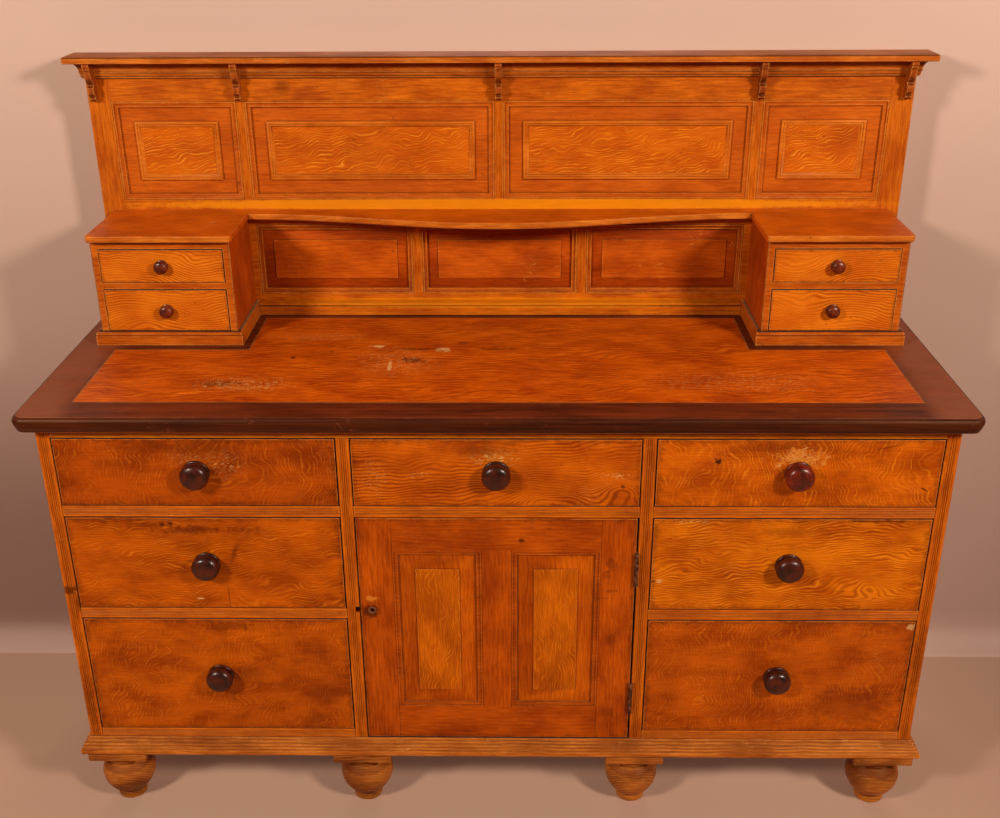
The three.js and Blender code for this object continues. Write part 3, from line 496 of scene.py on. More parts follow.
@dataclass(frozen=True)
class Grained(Finish):
    """The grained and varnished finish of a wooden piece."""

    grain: Grain = Grain.ACROSS_THE_FRONT
    figure: Figure = field(default_factory=Figure)
    deep: Colour = tone(150, 56, 6)
    body: Colour = tone(182, 76, 10)
    bright: Colour = tone(212, 112, 34)
    worn: Colour = tone(206, 116, 46)
    # The dark colour of joints, grime specks and worn margins, also used for painted shade on slanted faces and in
    # hollows.
    dirt: Colour = tone(62, 20, 4)
    wear: float = 0.6
    # How far the piece's own hollows darken: grime there and painted shade.
    grime: float = 0.8
    # How far faces slanting away from the front, such as the flanks of reeds, darken: painted shade there, with grime.
    groove: float = 0.0
    # How far faces turned up or to the right are painted lighter, and those turned down or to the left darker: painted
    # light and shade.
    tilt: float = 0.0
    seam: float = 0.7
    cloud: float = 0.4
    scratch: float = 0.5
    roughness: float = 0.42
    marks: tuple[Mark, ...] = ()
    uprights: tuple[Upright, ...] = ()
    border: Border | None = None
    origin: Point = ORIGIN

    def place(self, g: Graph, spot: Term) -> tuple[Term, Value]:
        """Where a point lies along and across the grain, turned within the uprights.

        Args:
            g: the material's graph.
            spot: the point in the frame of the CAD.

        Returns:
            The place in the figure, and a mask of the joint lines beside the uprights.
        """
        offset = g.move("SUBTRACT", spot, self.origin)
        along, across = (g.move("DOT_PRODUCT", offset, axis) for axis in self.grain.value)
        if not self.uprights:
            return g.vector(along, across), 0.0
        x, _, z = g.split(spot)
        turned = seams = 0.0
        for upright in self.uprights:
            room = upright.half - abs(x - upright.middle)
            within = g.math("GREATER_THAN", z, upright.low) * g.math("LESS_THAN", z, upright.high)
            turned = g.math("MAXIMUM", turned, g.math("GREATER_THAN", room, 0.0) * within)
            seams = g.math("MAXIMUM", seams, g.ease(abs(room), 0.0009, 0.0003) * within)
        swap = g.feed(g.add("Mix", data_type="VECTOR"), {
            0: turned, 4: g.vector(along, across), 5: g.vector(across + 3.0, along),
        })
        return g.out(swap, 1), seams

    def colour(self, g: Graph, spot: Term) -> tuple[Term, Term]:
        """The figured ground before wear.

        Args:
            g: the material's graph.
            spot: the point in the frame of the CAD.

        Returns:
            The colour and the height of the paint.
        """
        place, seams = self.place(g, spot)
        inputs = {name.capitalize(): value for name, value in vars(self.figure).items() if name != "knots"}
        for letter, (along, across, reach_along, reach_across, lines) in zip("AB", self.figure.knots):
            inputs["Knot " + letter] = (along, across, -lines)
            inputs["Reach " + letter] = (reach_along, reach_across, 1)
        painted = g.effect("Oak graining", Place=place, Deep=self.deep, Body=self.body, Bright=self.bright, **inputs)
        colour = painted["Color"]
        if self.uprights:
            colour = g.blend(seams * self.seam, colour, self.dirt)
        return colour, painted["Height"]

    def marked(self, g: Graph, spot: Term, colour: Term, flecks: Term, facing: Term) -> Term:
        """Lays the placed marks, the darkened margin and the worn arris over a colour.

        Args:
            g: the material's graph.
            spot: the point in the frame of the CAD.
            colour: the colour underneath.
            flecks: the mask of short flecks.
            facing: how far the surface faces the front or the back.

        Returns:
            The marked colour.
        """
        for mark in self.marks:
            shade, form = mark.trace.value
            placed = g.effect(
                "Spot", Place=spot, Centre=mark.centre, Reach=mark.reach, Turn=mark.turn,
                Ragged=mark.ragged, Soft=mark.soft,
            )
            mask = placed["Mask"] * flecks if form == "Flecks" else placed[form]
            colour = g.blend(mask * mark.strength, colour, shade)
        if self.border:
            (x, z), (half_x, half_z) = self.border.centre, self.border.half
            rim = g.effect("Rim", Place=spot, Centre=(x, 0, z), Half=(half_x, FAR, half_z), Width=self.border.width)
            level = g.ease(facing, 0.2, 0.6)
            colour = g.blend(rim["Margin"] * level * self.border.dark, colour, self.dirt)
            colour = g.blend(rim["Arris"] * level * self.border.arris, colour, self.worn)
        return colour

    def paint(self, g: Graph, shader: Node, source: Node) -> None:
        """Builds the material: the figure under clouds, scratches, wear, grime, painted light and shade, and marks."""
        spot = g.out(source, "Object")
        colour, height = self.colour(g, spot)
        dirt = g.effect("Grime", Place=spot, Seed=self.figure.seed)
        colour = g.blend(dirt["Cloud"] * self.cloud, colour, g.tint(colour, (0.55, 0.42, 0.3, 1)))
        colour = g.blend(dirt["Speck"] * 0.6, colour, self.dirt)
        lines = g.effect("Scratches", Place=spot, Amount=self.scratch)
        colour = g.blend(lines["Mask"], colour, self.worn)
        beside, ahead, above = g.split(g.out(source, "Normal"))
        facing = abs(ahead)
        # Painted light and shade: faces turned up or to the right lighter, those turned down or to the left darker.
        if self.tilt:
            lit = g.blend(g.ease(beside + above, -0.07, 0.07), (0.78, 0.68, 0.6, 1), (1.16, 1.2, 1.2, 1))
            colour = g.blend(self.tilt, colour, g.tint(colour, lit))
        # Faces that slant away from the front are darkened: painted shade on the flanks of reeds and mouldings, with
        # grime.
        slanted = g.ease(facing, 0.96, 0.8) * g.ease(facing, 0.15, 0.45)
        colour = g.blend(slanted * self.groove, colour, self.dirt)
        edge = g.effect("Edges", Place=spot)
        colour = g.blend(edge["Worn"] * self.wear, colour, self.worn)
        # The piece's own hollows are darkened from occlusion: grime there and painted shade.
        colour = g.blend(edge["Hollow"] * self.grime, colour, self.dirt)
        dull = dirt["Cloud"] * 0.14 + edge["Worn"] * 0.1 + lines["Mask"] * 0.15
        g.feed(shader, {
            "Base Color": self.marked(g, spot, colour, lines["Flecks"], facing),
            "Roughness": dull + self.roughness, "Specular IOR Level": 0.24, "Specular Tint": (1.0, 0.6, 0.3, 1.0),
        })
        g.relief(shader, height + lines["Mask"] * -1.5, 0.35, 0.0004)


@dataclass(frozen=True)
class Mahogany(Finish):
    """The glossy stained wood of the knobs."""

    name: str = "knob mahogany"
    dark: Colour = tone(32, 9, 4)
    light: Colour = tone(78, 22, 7)

    def paint(self, g: Graph, shader: Node, source: Node) -> None:
        """Builds the material: a red-brown ground, darker in clouds, with fine rings and rubbed rims."""
        spot = g.out(source, "Object")
        x, y, z = g.split(spot)
        clouds = g.noise(spot, 55.0, 3.0, 0.6)
        colour = g.blend(g.ease(clouds, 0.35, 0.7), self.dark, self.light)
        rings = g.ease(g.noise((x * 60.0, y * 700.0, z * 60.0)), 0.4, 0.7)
        colour = g.blend(rings * 0.3, colour, tone(92, 32, 13))
        edge = g.effect("Edges", Place=spot, Reach=0.003, Ragged=0.3)
        colour = g.blend(edge["Worn"] * 0.25, colour, tone(110, 46, 22))
        # The knob's own hollows go near black from occlusion: grime there and painted shade.
        g.feed(shader, {
            "Base Color": g.blend(edge["Hollow"] * 0.8, colour, tone(20, 6, 3)),
            "Roughness": clouds * 0.2 + 0.22, "Coat Weight": g.ease(clouds, 0.2, 0.8, 0.22, 0.08),
            "Coat Roughness": 0.18, "Specular IOR Level": 0.4, "Specular Tint": (1.0, 0.8, 0.65, 1.0),
        })


@dataclass(frozen=True)
class Iron(Finish):
    """Browned iron with rust in its clouds."""

    name: str = "browned iron"

    def paint(self, g: Graph, shader: Node, source: Node) -> None:
        """Builds the material: dark metal under patches of dull rust, rubbed brighter at its edges."""
        spot = g.out(source, "Object")
        rust = g.ease(g.noise(spot, 120.0, 4.0, 0.65), 0.38, 0.66)
        worn = g.effect("Edges", Place=spot, Reach=0.0015)["Worn"]
        g.feed(shader, {
            "Base Color": g.blend(worn * 0.5, g.blend(rust, tone(70, 44, 30), tone(124, 66, 30)), tone(150, 112, 80)),
            "Metallic": g.ease(rust, 0.0, 1.0, 0.8, 0.15), "Roughness": rust * 0.3 + 0.42,
        })
        g.relief(shader, rust, 0.4, 0.0003)


@dataclass(frozen=True)
class BarePine(Finish):
    """Unpainted pine, browned by age, and darkened for its first few millimetres behind the front: paint lapped over
    it, and painted shade in the gaps round the fronts.
    """

    name: str = "bare pine"
    grain: Grain = Grain.ACROSS_THE_FRONT
    front: float = CASE_FRONT
    deep: Colour = tone(126, 78, 38)
    body: Colour = tone(176, 124, 70)
    aged: Colour = tone(92, 60, 36)

    def paint(self, g: Graph, shader: Node, source: Node) -> None:
        """Builds the material: rings whose level lines bend in clouds, under old dust."""
        spot = g.out(source, "Object")
        along, across = (g.move("DOT_PRODUCT", spot, axis) for axis in self.grain.value)
        clouds = g.noise((along * 3.0, across * 9.0, 1.0), 1.0, 1.5)
        wave = g.math("SINE", (across * 60.0 + clouds * 7.0) * (2 * math.pi))
        colour = g.blend(g.ease(wave, 0.0, 1.0, 0.0, 0.45), self.body, self.deep)
        hairs = g.noise((along * 12.0, across * 480.0), 1.0, 3.0)
        colour = g.blend(g.ease(hairs, 0.4, 0.7) * 0.35, colour, self.aged)
        dirt = g.effect("Grime", Place=spot, Seed=2.0)
        colour = g.blend(dirt["Cloud"] * 0.4, colour, self.aged)
        edge = g.effect("Edges", Place=spot, Reach=0.006)
        # Hollows darkened from occlusion: old dust there and painted shade.
        colour = g.blend(edge["Hollow"] * 0.7, colour, tone(48, 30, 18))
        # The first few millimetres behind the front go dark: lapped paint, and painted shade in the gaps.
        behind = g.ease(g.split(spot)[1], self.front + 0.012, self.front + 0.006)
        colour = g.blend(behind, colour, tone(62, 24, 8))
        g.feed(shader, {"Base Color": colour, "Roughness": hairs * 0.2 + 0.66})
        g.relief(shader, hairs, 0.5, 0.0005)


@dataclass(frozen=True)
class WorktopPaint(Grained):
    """The worktop: a grained field within a painted mahogany border, with a scribed line between."""

    name: str = "painted worktop"
    edge_dark: Colour = tone(58, 18, 8)
    edge_body: Colour = tone(104, 38, 14)
    field_front: float = -0.2135
    before_boxes: tuple[float, float] = (0.762, 0.0395)
    between_boxes: tuple[float, float] = (0.495, 0.2215)
    top: float = TOP - 0.001

    def colour(self, g: Graph, spot: Term) -> tuple[Term, Term]:
        """The field's figure within the border.

        The field is the join of a wide rectangle before the boxes and a narrow one between
        them, each given by its half width and its rear. The room to the field's edge is the
        larger of the rooms in the two.

        Args:
            g: the material's graph.
            spot: the point in the frame of the CAD.

        Returns:
            The colour and the height of the paint.
        """
        painted, height = super().colour(g, spot)
        x, y, z = g.split(spot)
        wide, ahead = abs(x), y - self.field_front
        rooms = [
            g.math("MINIMUM", half - wide, g.math("MINIMUM", ahead, rear - y))
            for half, rear in (self.before_boxes, self.between_boxes)
        ]
        room = g.math("MAXIMUM", *rooms) + (g.noise(spot, 130.0, 3.0) - 0.5) * 0.0016
        upper = g.math("GREATER_THAN", z, self.top)
        clouds = g.noise((x * 6.0, y * 30.0, z * 120.0), 1.0, 4.0, 0.6)
        border = g.blend(g.ease(clouds, 0.3, 0.7), self.edge_dark, self.edge_body)
        streak = g.noise((x * 4.0, y * 240.0, z * 500.0), 1.0, 3.0, 0.6)
        border = g.blend(g.ease(streak, 0.45, 0.7) * 0.4, border, tone(140, 58, 26))
        aside = g.ease(wide, 0.74, 0.79) * upper
        border = g.blend(aside * 0.6, border, tone(150, 78, 46))
        # Off the top face the border is half as bright: the edge's dark paint, and painted shade on the nose.
        border = g.blend(upper, g.tint(border, (0.5, 0.5, 0.5, 1)), border)
        colour = g.blend(g.ease(room, -0.0006, 0.0006) * upper, border, painted)
        line = g.ease(abs(room), 0.0022, 0.0008) * upper
        return g.blend(line * g.ease(clouds, 0.35, 0.6, 0.3, 0.9), colour, tone(150, 96, 48)), height


@dataclass(frozen=True)
class Patch:
    """The faces of a piece that take another finish: those in a box, or which face one way.

    A face is in the box when its middle is, or, for a whole patch, when all its corners are.
    """

    finish: Finish
    low: Point = (-FAR, -FAR, -FAR)
    high: Point = (FAR, FAR, FAR)
    facing: Point | None = None
    whole: bool = False

    def holds(self, middles: np.ndarray, normals: np.ndarray, lowest: np.ndarray, highest: np.ndarray) -> np.ndarray:
        """Which faces the patch takes.

        Args:
            middles: the faces' middles.
            normals: the faces' normals.
            lowest: the least corner of each face.
            highest: the greatest corner of each face.

        Returns:
            A truth value for each face.
        """
        first, last = (lowest, highest) if self.whole else (middles, middles)
        inside = np.all((first > np.array(self.low)) & (last < np.array(self.high)), axis=1)
        return inside if self.facing is None else inside & (normals @ np.array(self.facing) > 0.6)


def read(items: bpy.types.bpy_prop_collection, name: str, width: int, kind: type = np.float32) -> np.ndarray:
    """A property of all the items of a mesh.

    Args:
        items: its points, corners or faces.
        name: the property.
        width: how many numbers it has.
        kind: the numbers' type.

    Returns:
        One row for each item, or one number where the width is 1.
    """
    values = np.empty(len(items) * width, kind)
    items.foreach_get(name, values)
    return values.reshape(-1, width) if width > 1 else values


def add_object(name: str, mesh: bpy.types.Mesh, crisp: float) -> bpy.types.Object:
    """Puts a mesh in the scene, smooth but for the edges sharper than an angle."""
    mesh.shade_smooth()
    mesh.set_sharp_from_angle(angle=crisp)
    piece = bpy.data.objects.new(name, mesh)
    bpy.context.scene.collection.objects.link(piece)
    return piece


class Workshop:
    """Makes the visual pieces and puts them on their bodies."""

    def __init__(self) -> None:
        """Reads which body holds each node."""
        bodies = frame["record"]["behaviour"]["bodies"]
        self.body_of = {node: body for body, nodes in bodies.items() for node in nodes}

    def place(self, piece: bpy.types.Object, node: str, slot: str, stands_for: bool = True) -> None:
        """Puts a finished piece on a node's body.

        Args:
            piece: the object.
            node: the CAD node that it stands for or goes with.
            slot: the record's material slot; not used.
            stands_for: whether the CAD node is then hidden.
        """
        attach(piece, self.body_of[node])
        if stands_for:
            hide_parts(node)
        LOG.info("%s: %d faces, on %s", piece.name, len(piece.data.polygons), self.body_of[node])

    def joinery(
        self, node: str, finish: Finish, *patches: Patch, slot: str = "frame", width: float = ARRIS_WIDTH,
    ) -> None:
        """A wooden piece: the node's own shape, merged, with eased arrises and its finishes.

        Args:
            node: the CAD node.
            finish: the finish of its faces.
            patches: the faces that take another finish, the last one winning.
            slot: the record's material slot.
            width: how far its arrises are eased.
        """
        work = bmesh.new()
        work.from_mesh(frame["nodes"][node].data)
        bmesh.ops.remove_doubles(work, verts=work.verts, dist=1e-5)
        bmesh.ops.dissolve_limit(work, angle_limit=FLAT, verts=work.verts, edges=work.edges)
        arrises = [
            edge for edge in work.edges
            if edge.is_manifold and edge.calc_face_angle_signed(0.0) > SHARP_ARRIS
            and edge.calc_length() > SHORTEST_ARRIS
        ]
        bmesh.ops.bevel(
            work, geom=arrises, offset=width, segments=2, profile=0.5,
            affect="EDGES", clamp_overlap=True, offset_type="OFFSET",
        )
        mesh = bpy.data.meshes.new(node + "_dressed")
        work.to_mesh(mesh)
        work.free()
        piece = add_object(node + "_dressed", mesh, CRISP_COPY)
        at_corners = read(mesh.vertices, "co", 3)[read(mesh.loops, "vertex_index", 1, np.int32)]
        starts = read(mesh.polygons, "loop_start", 1, np.int32)
        lowest, highest = (gather.reduceat(at_corners, starts, axis=0) for gather in (np.minimum, np.maximum))
        middles, normals = read(mesh.polygons, "center", 3), read(mesh.polygons, "normal", 3)
        choice = np.zeros(len(starts), np.int32)
        for index, patch in enumerate(patches, start=1):
            choice[patch.holds(middles, normals, lowest, highest)] = index
        for each in (finish, *(patch.finish for patch in patches)):
            mesh.materials.append(each.material())
        mesh.polygons.foreach_set("material_index", choice)
        piece.modifiers.new("Even shading", "WEIGHTED_NORMAL").keep_sharp = True
        self.place(piece, node, slot)


def surface_mesh(name: str, points: np.ndarray, faces: np.ndarray) -> bpy.types.Object:
    """A mesh object from arrays.

    Args:
        name: the object's name.
        points: the corners, one row each.
        faces: the faces' corner numbers, one row each; a repeated last corner makes a triangle.

    Returns:
        The new object.
    """
    mesh = bpy.data.meshes.new(name)
    rows = [row[:3] if row[2] == row[3] else row for row in faces.tolist()]
    mesh.from_pydata(points.tolist(), [], rows)
    mesh.validate()
    return add_object(name, mesh, CRISP_SURFACE)


def smooth_profile(shares: tuple[tuple[float, float], ...]) -> np.ndarray:
    """A smooth line through the points of a profile.

    Each stretch is a cubic whose slopes at its ends are those between the neighbouring points
    (Catmull-Rom). A point given twice keeps a crisp corner.

    Args:
        shares: the profile's points.

    Returns:
        The finer profile, one row for each point.
    """
    rough = np.array(shares)
    padded = np.vstack([2 * rough[0] - rough[1], rough, 2 * rough[-1] - rough[-2]])[:, None, :]
    before, start, end, after = padded[:-3], padded[1:-2], padded[2:-1], padded[3:]
    t = (np.arange(PROFILE_STEPS) / PROFILE_STEPS)[None, :, None]
    line = 0.5 * (
        2 * start + (end - before) * t + (2 * before - 5 * start + 4 * end - after) * t**2
        + (3 * start - before - 3 * end + after) * t**3
    )
    smooth = np.vstack([line.reshape(-1, 2), rough[-1]])
    apart = np.linalg.norm(np.diff(smooth, axis=0), axis=1) > 1e-5
    return smooth[np.concatenate([[True], apart])]


def turned_surface(profile: np.ndarray) -> tuple[np.ndarray, np.ndarray]:
    """The surface that a profile sweeps round the z axis.

    A point at height h and radius r stands at (r cos a, r sin a, h) for each angle a. Both ends
    close in a point on the axis.

    Args:
        profile: radius and height, one row each, from the lower end up.

    Returns:
        The points, and the faces with outward normals.
    """
    angle = np.linspace(0, 2 * np.pi, TURNED_SIDES, endpoint=False)
    rings = np.stack([
        np.outer(profile[:, 0], np.cos(angle)), np.outer(profile[:, 0], np.sin(angle)),
        np.repeat(profile[:, 1:], TURNED_SIDES, axis=1),
    ], axis=-1).reshape(-1, 3)
    side = np.arange(TURNED_SIDES)
    beside = (side + 1) % TURNED_SIDES
    low = np.arange(len(profile) - 1)[:, None] * TURNED_SIDES
    high = low + TURNED_SIDES
    walls = np.stack([low + side, low + beside, high + beside, high + side], axis=-1).reshape(-1, 4)
    last = len(rings) - TURNED_SIDES
    ends = [
        np.stack([first, second, *[np.full(TURNED_SIDES, middle)] * 2], axis=-1)
        for first, second, middle in ((beside, side, len(rings)), (last + side, last + beside, len(rings) + 1))
    ]
    return np.vstack([rings, [0, 0, profile[0, 1]], [0, 0, profile[-1, 1]]]), np.vstack([walls, *ends])


@dataclass
class TurnedKnob:
    """A mushroom knob on its collar, turned round an axis that points out of a drawer."""

    node: str
    finish: Mahogany
    shares: tuple[tuple[float, float], ...] = (
        (0.92, 0.0), (0.92, 0.0), (0.965, 0.02), (0.97, 0.07), (0.94, 0.13), (0.86, 0.16), (0.86, 0.16),
        (0.72, 0.2), (0.63, 0.25), (0.63, 0.3), (0.72, 0.35), (0.87, 0.4), (0.95, 0.46), (0.99, 0.52),
        (1.0, 0.59), (0.98, 0.67), (0.92, 0.77), (0.8, 0.87), (0.62, 0.94), (0.4, 0.98), (0.18, 1.0),
    )

    def build(self, shop: Workshop) -> None:
        """Turns the knob, lays it out along -y and dresses it."""
        low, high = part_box(self.node)
        centre = (low + high) / 2
        points, faces = turned_surface(smooth_profile(self.shares) * [(high.x - low.x) / 2, high.y - low.y])
        laid = np.stack([centre.x + points[:, 0], high.y - points[:, 2], centre.z + points[:, 1]], axis=1)
        piece = surface_mesh(self.node + "_turned", laid, faces)
        piece.data.materials.append(self.finish.material())
        shop.place(piece, self.node, "knob")


@dataclass
class BunFoot:
    """A turned foot under its square block."""

    node: str
    radius: float = 0.053
    turning: float = 0.126
    block: float = 0.117
    block_height: float = 0.0217
    shares: tuple[tuple[float, float], ...] = (
        (0.49, 0.0), (0.535, 0.012), (0.55, 0.04), (0.55, 0.1), (0.52, 0.125), (0.52, 0.125), (0.53, 0.145),
        (0.68, 0.2), (0.83, 0.28), (0.95, 0.38), (1.0, 0.49), (0.985, 0.57), (0.935, 0.635), (0.85, 0.695),
        (0.74, 0.745), (0.68, 0.765), (0.68, 0.765), (0.68, 0.79), (0.76, 0.805), (0.81, 0.83), (0.83, 0.865),
        (0.81, 0.9), (0.75, 0.925), (0.75, 0.925), (0.74, 1.0),
    )

    def build(self, shop: Workshop) -> None:
        """Turns the bun, adds the block and dresses both as one piece."""
        low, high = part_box(self.node)
        centre = (low + high) / 2
        points, faces = turned_surface(smooth_profile(self.shares) * [self.radius, self.turning])
        points = points + [centre.x, centre.y, low.z]
        work = bmesh.new()
        cube = bmesh.ops.create_cube(work, size=1.0)
        scale = Matrix.Diagonal((self.block, self.block, self.block_height, 1))
        middle = Vector((centre.x, centre.y, high.z - self.block_height / 2))
        bmesh.ops.transform(work, matrix=Matrix.Translation(middle) @ scale, verts=cube["verts"])
        bmesh.ops.bevel(work, geom=work.edges[:], offset=0.0025, segments=3, profile=0.5, affect="EDGES")
        work.verts.index_update()
        square = np.array([vert.co[:] for vert in work.verts])
        rows = [[vert.index + len(points) for vert in face.verts] for face in work.faces]
        work.free()
        quads = np.array([row if len(row) == 4 else [*row, row[-1]] for row in rows])
        piece = surface_mesh(self.node + "_turned", np.vstack([points, square]), np.vstack([faces, quads]))
        piece.data.materials.append(FOOT.material())
        shop.place(piece, self.node, "frame")


@dataclass
class KeyholeRing:
    """The worn iron ring let in round the keyhole, a flattened round bar."""

    centre: tuple[float, float] = (-0.2385, 0.4845)
    radius: float = 0.0062
    thickness: float = 0.0011
    flatness: float = 0.6
    around: int = 48
    section: int = 12

    def build(self, shop: Workshop) -> None:
        """Bends the bar into a ring.

        A point of the ring at angle a round the hole and angle b round the bar stands
        radius + thickness cos b from the hole's axis, and its sine's share in front of the door.

        Args:
            shop: where the piece is placed.
        """
        i, j = np.meshgrid(np.arange(self.around), np.arange(self.section), indexing="ij")
        a, b = i / self.around * 2 * np.pi, j / self.section * 2 * np.pi
        away = self.radius + self.thickness * np.cos(b)
        ahead = CASE_FRONT - self.thickness * np.sin(b) * self.flatness
        points = np.stack([self.centre[0] + away * np.cos(a), ahead, self.centre[1] + away * np.sin(a)], axis=-1)
        next_i, next_j = (i + 1) % self.around * self.section, (j + 1) % self.section
        faces = np.stack([i * self.section + j, next_i + j, next_i + next_j, i * self.section + next_j], axis=-1)
        piece = surface_mesh("keyhole_ring", points.reshape(-1, 3), faces.reshape(-1, 4))
        piece.data.materials.append(Iron().material())
        shop.place(piece, "door", "iron", stands_for=False)


PINE = BarePine()
PINE_UPRIGHT = BarePine("bare pine upright", Grain.UPRIGHT)
BOX_PINE = BarePine("bare pine of the boxes", front=BOX_FRONT)
BACK_PINE = BarePine("bare pine behind", front=-FAR)
RAIL = Grained(
    "rail", figure=Figure(0, 0.012, 0.6, 0.3, 0.2, 0.05, 1.0, 4), deep=tone(184, 80, 6), body=tone(210, 100, 10),
    worn=tone(232, 140, 40), dirt=tone(104, 40, 4), wear=0.3, grime=0.6, groove=0.3, cloud=0.35,
    marks=marks_on(CASE_FRONT, (
        (STAIN, -0.815, 0.53, 0.02, 0.012, 0.7, 1.2), (STAIN, -0.8, 0.5, 0.008, 0.03, 0.55, 1.2),
        (SHADE, -0.82, 0.27, 0.03, 0.1, 0.5, 1.0, 0.9), (SHADE, 0.82, 0.36, 0.03, 0.12, 0.45, 1.0, 0.9),
    ), 0.03),
)
# Painted light: the rail under the worktop gets a lighter copy of the rail colours, offsetting the worktop's shadow on
# it.
TOP_RAIL_PAINTED_LIGHTER = replace(RAIL, name="top rail painted lighter", deep=tone(228, 122, 18), body=tone(248, 144, 28))
STILE = replace(RAIL, name="stile", grain=Grain.UPRIGHT)
SIDE = Grained("chest side", Grain.UPRIGHT, Figure(0, 0.01, 2.0, 0.8, 0.3, 0.15, 0.9, 12), cloud=0.45)
PLINTH = Grained(
    "plinth", figure=Figure(0, 0.009, 1.2, 0.6, 0.5, 0.3, 1.0, 6), deep=tone(168, 82, 20), body=tone(208, 114, 36),
    bright=tone(224, 142, 62), worn=tone(228, 158, 84), dirt=tone(76, 36, 14), wear=1.0, grime=0.9, groove=0.4,
    cloud=0.7, scratch=0.9, roughness=0.5,
)
PLINTH_SIDE = replace(PLINTH, name="plinth side", grain=Grain.FRONT_TO_BACK)
FOOT = Grained(
    "foot", figure=Figure(0, 0.007, 1.5, 1.0, 0.6, 0.3, 1.0, 8), deep=tone(124, 62, 20), body=tone(186, 102, 34),
    bright=tone(212, 134, 60), worn=tone(212, 138, 66), dirt=tone(52, 28, 14), wear=0.4, grime=0.9, cloud=0.8,
    scratch=0.9, roughness=0.52, marks=marks_on(0, (
        # The dark bands at 17.5 mm and 88 mm up are painted shade in the narrow necks above the pad and under the
        # upper bead.
        (STAIN, 0, 0.0175, FAR, 0.0035, 0.5, 0.3), (SHADE, 0, 0.088, FAR, 0.009, 0.55, 0.6),
        (GOLD, 0, 0.003, FAR, 0.012, 0.2, 0.8, 0.9),
    ), FAR),
)


@dataclass
class Chest:
    """The carcass of the chest: sides, uprights, rails, plinth, back and feet."""

    strip: float = 0.0145
    plinth_foot: float = 0.145
    plinth_top: float = 0.1795

    def build(self, shop: Workshop) -> None:
        """Dresses every piece of the carcass."""
        rails = Patch(PINE, (-FAR, CASE_FRONT + 0.004, -FAR))
        for side, sign in (("left", -1), ("right", 1)):
            shop.joinery(
                "gable_" + side, SIDE, Patch(STILE, high=(FAR, CASE_FRONT + self.strip, FAR)),
                Patch(PINE_UPRIGHT, (-FAR, CASE_FRONT + 0.012, -FAR), facing=(-sign, 0, 0)),
                Patch(PLINTH_SIDE, (-FAR, -FAR, self.plinth_foot), (FAR, FAR, self.plinth_top), (sign, 0, 0)),
                Patch(PINE_UPRIGHT, high=(FAR, FAR, self.plinth_foot + 0.0005)),
            )
            shop.joinery("partition_" + side, STILE, Patch(PINE_UPRIGHT, (-FAR, CASE_FRONT + 0.013, -FAR)))
        for place in ("left_lower", "left_upper", "right_lower", "right_upper", "centre"):
            shop.joinery("rail_" + place, RAIL, rails)
        shop.joinery("top_rail", TOP_RAIL_PAINTED_LIGHTER, rails)
        inside = Patch(PINE, (-0.8, CASE_FRONT + 0.004, 0.17), (0.8, FAR, FAR))
        shop.joinery("base_board", PLINTH, Patch(RAIL, (-FAR, -FAR, self.plinth_top + 0.0003)), inside)
        shop.joinery("carcass_back", PINE_UPRIGHT, slot="bare_pine")
        for place in ("outer_left", "inner_left", "inner_right", "outer_right"):
            BunFoot("foot_" + place).build(shop)


@dataclass
class Drawer:
    """A drawer: its figured front, its bare tray and its knob."""

    node: str
    finish: Grained
    knob: Mahogany = Mahogany()
    front: float = CASE_FRONT
    bare: BarePine = PINE
    margin: float = 0.012

    def build(self, shop: Workshop) -> None:
        """Dresses the drawer and turns its knob."""
        border = Border.of(self.node, self.margin)
        finish = replace(self.finish, border=border, origin=(border.centre[0], self.front, border.centre[1]))
        deep = replace(self.bare, name=self.bare.name + " in depth", grain=Grain.FRONT_TO_BACK)
        behind = (-FAR, self.front + 0.003, -FAR)
        sides = (Patch(deep, behind, facing=(way, 0, 0)) for way in (1, -1))
        shop.joinery(self.node, finish, Patch(self.bare, behind), *sides, slot="drawer")
        TurnedKnob(self.node + "_knob", self.knob).build(shop)


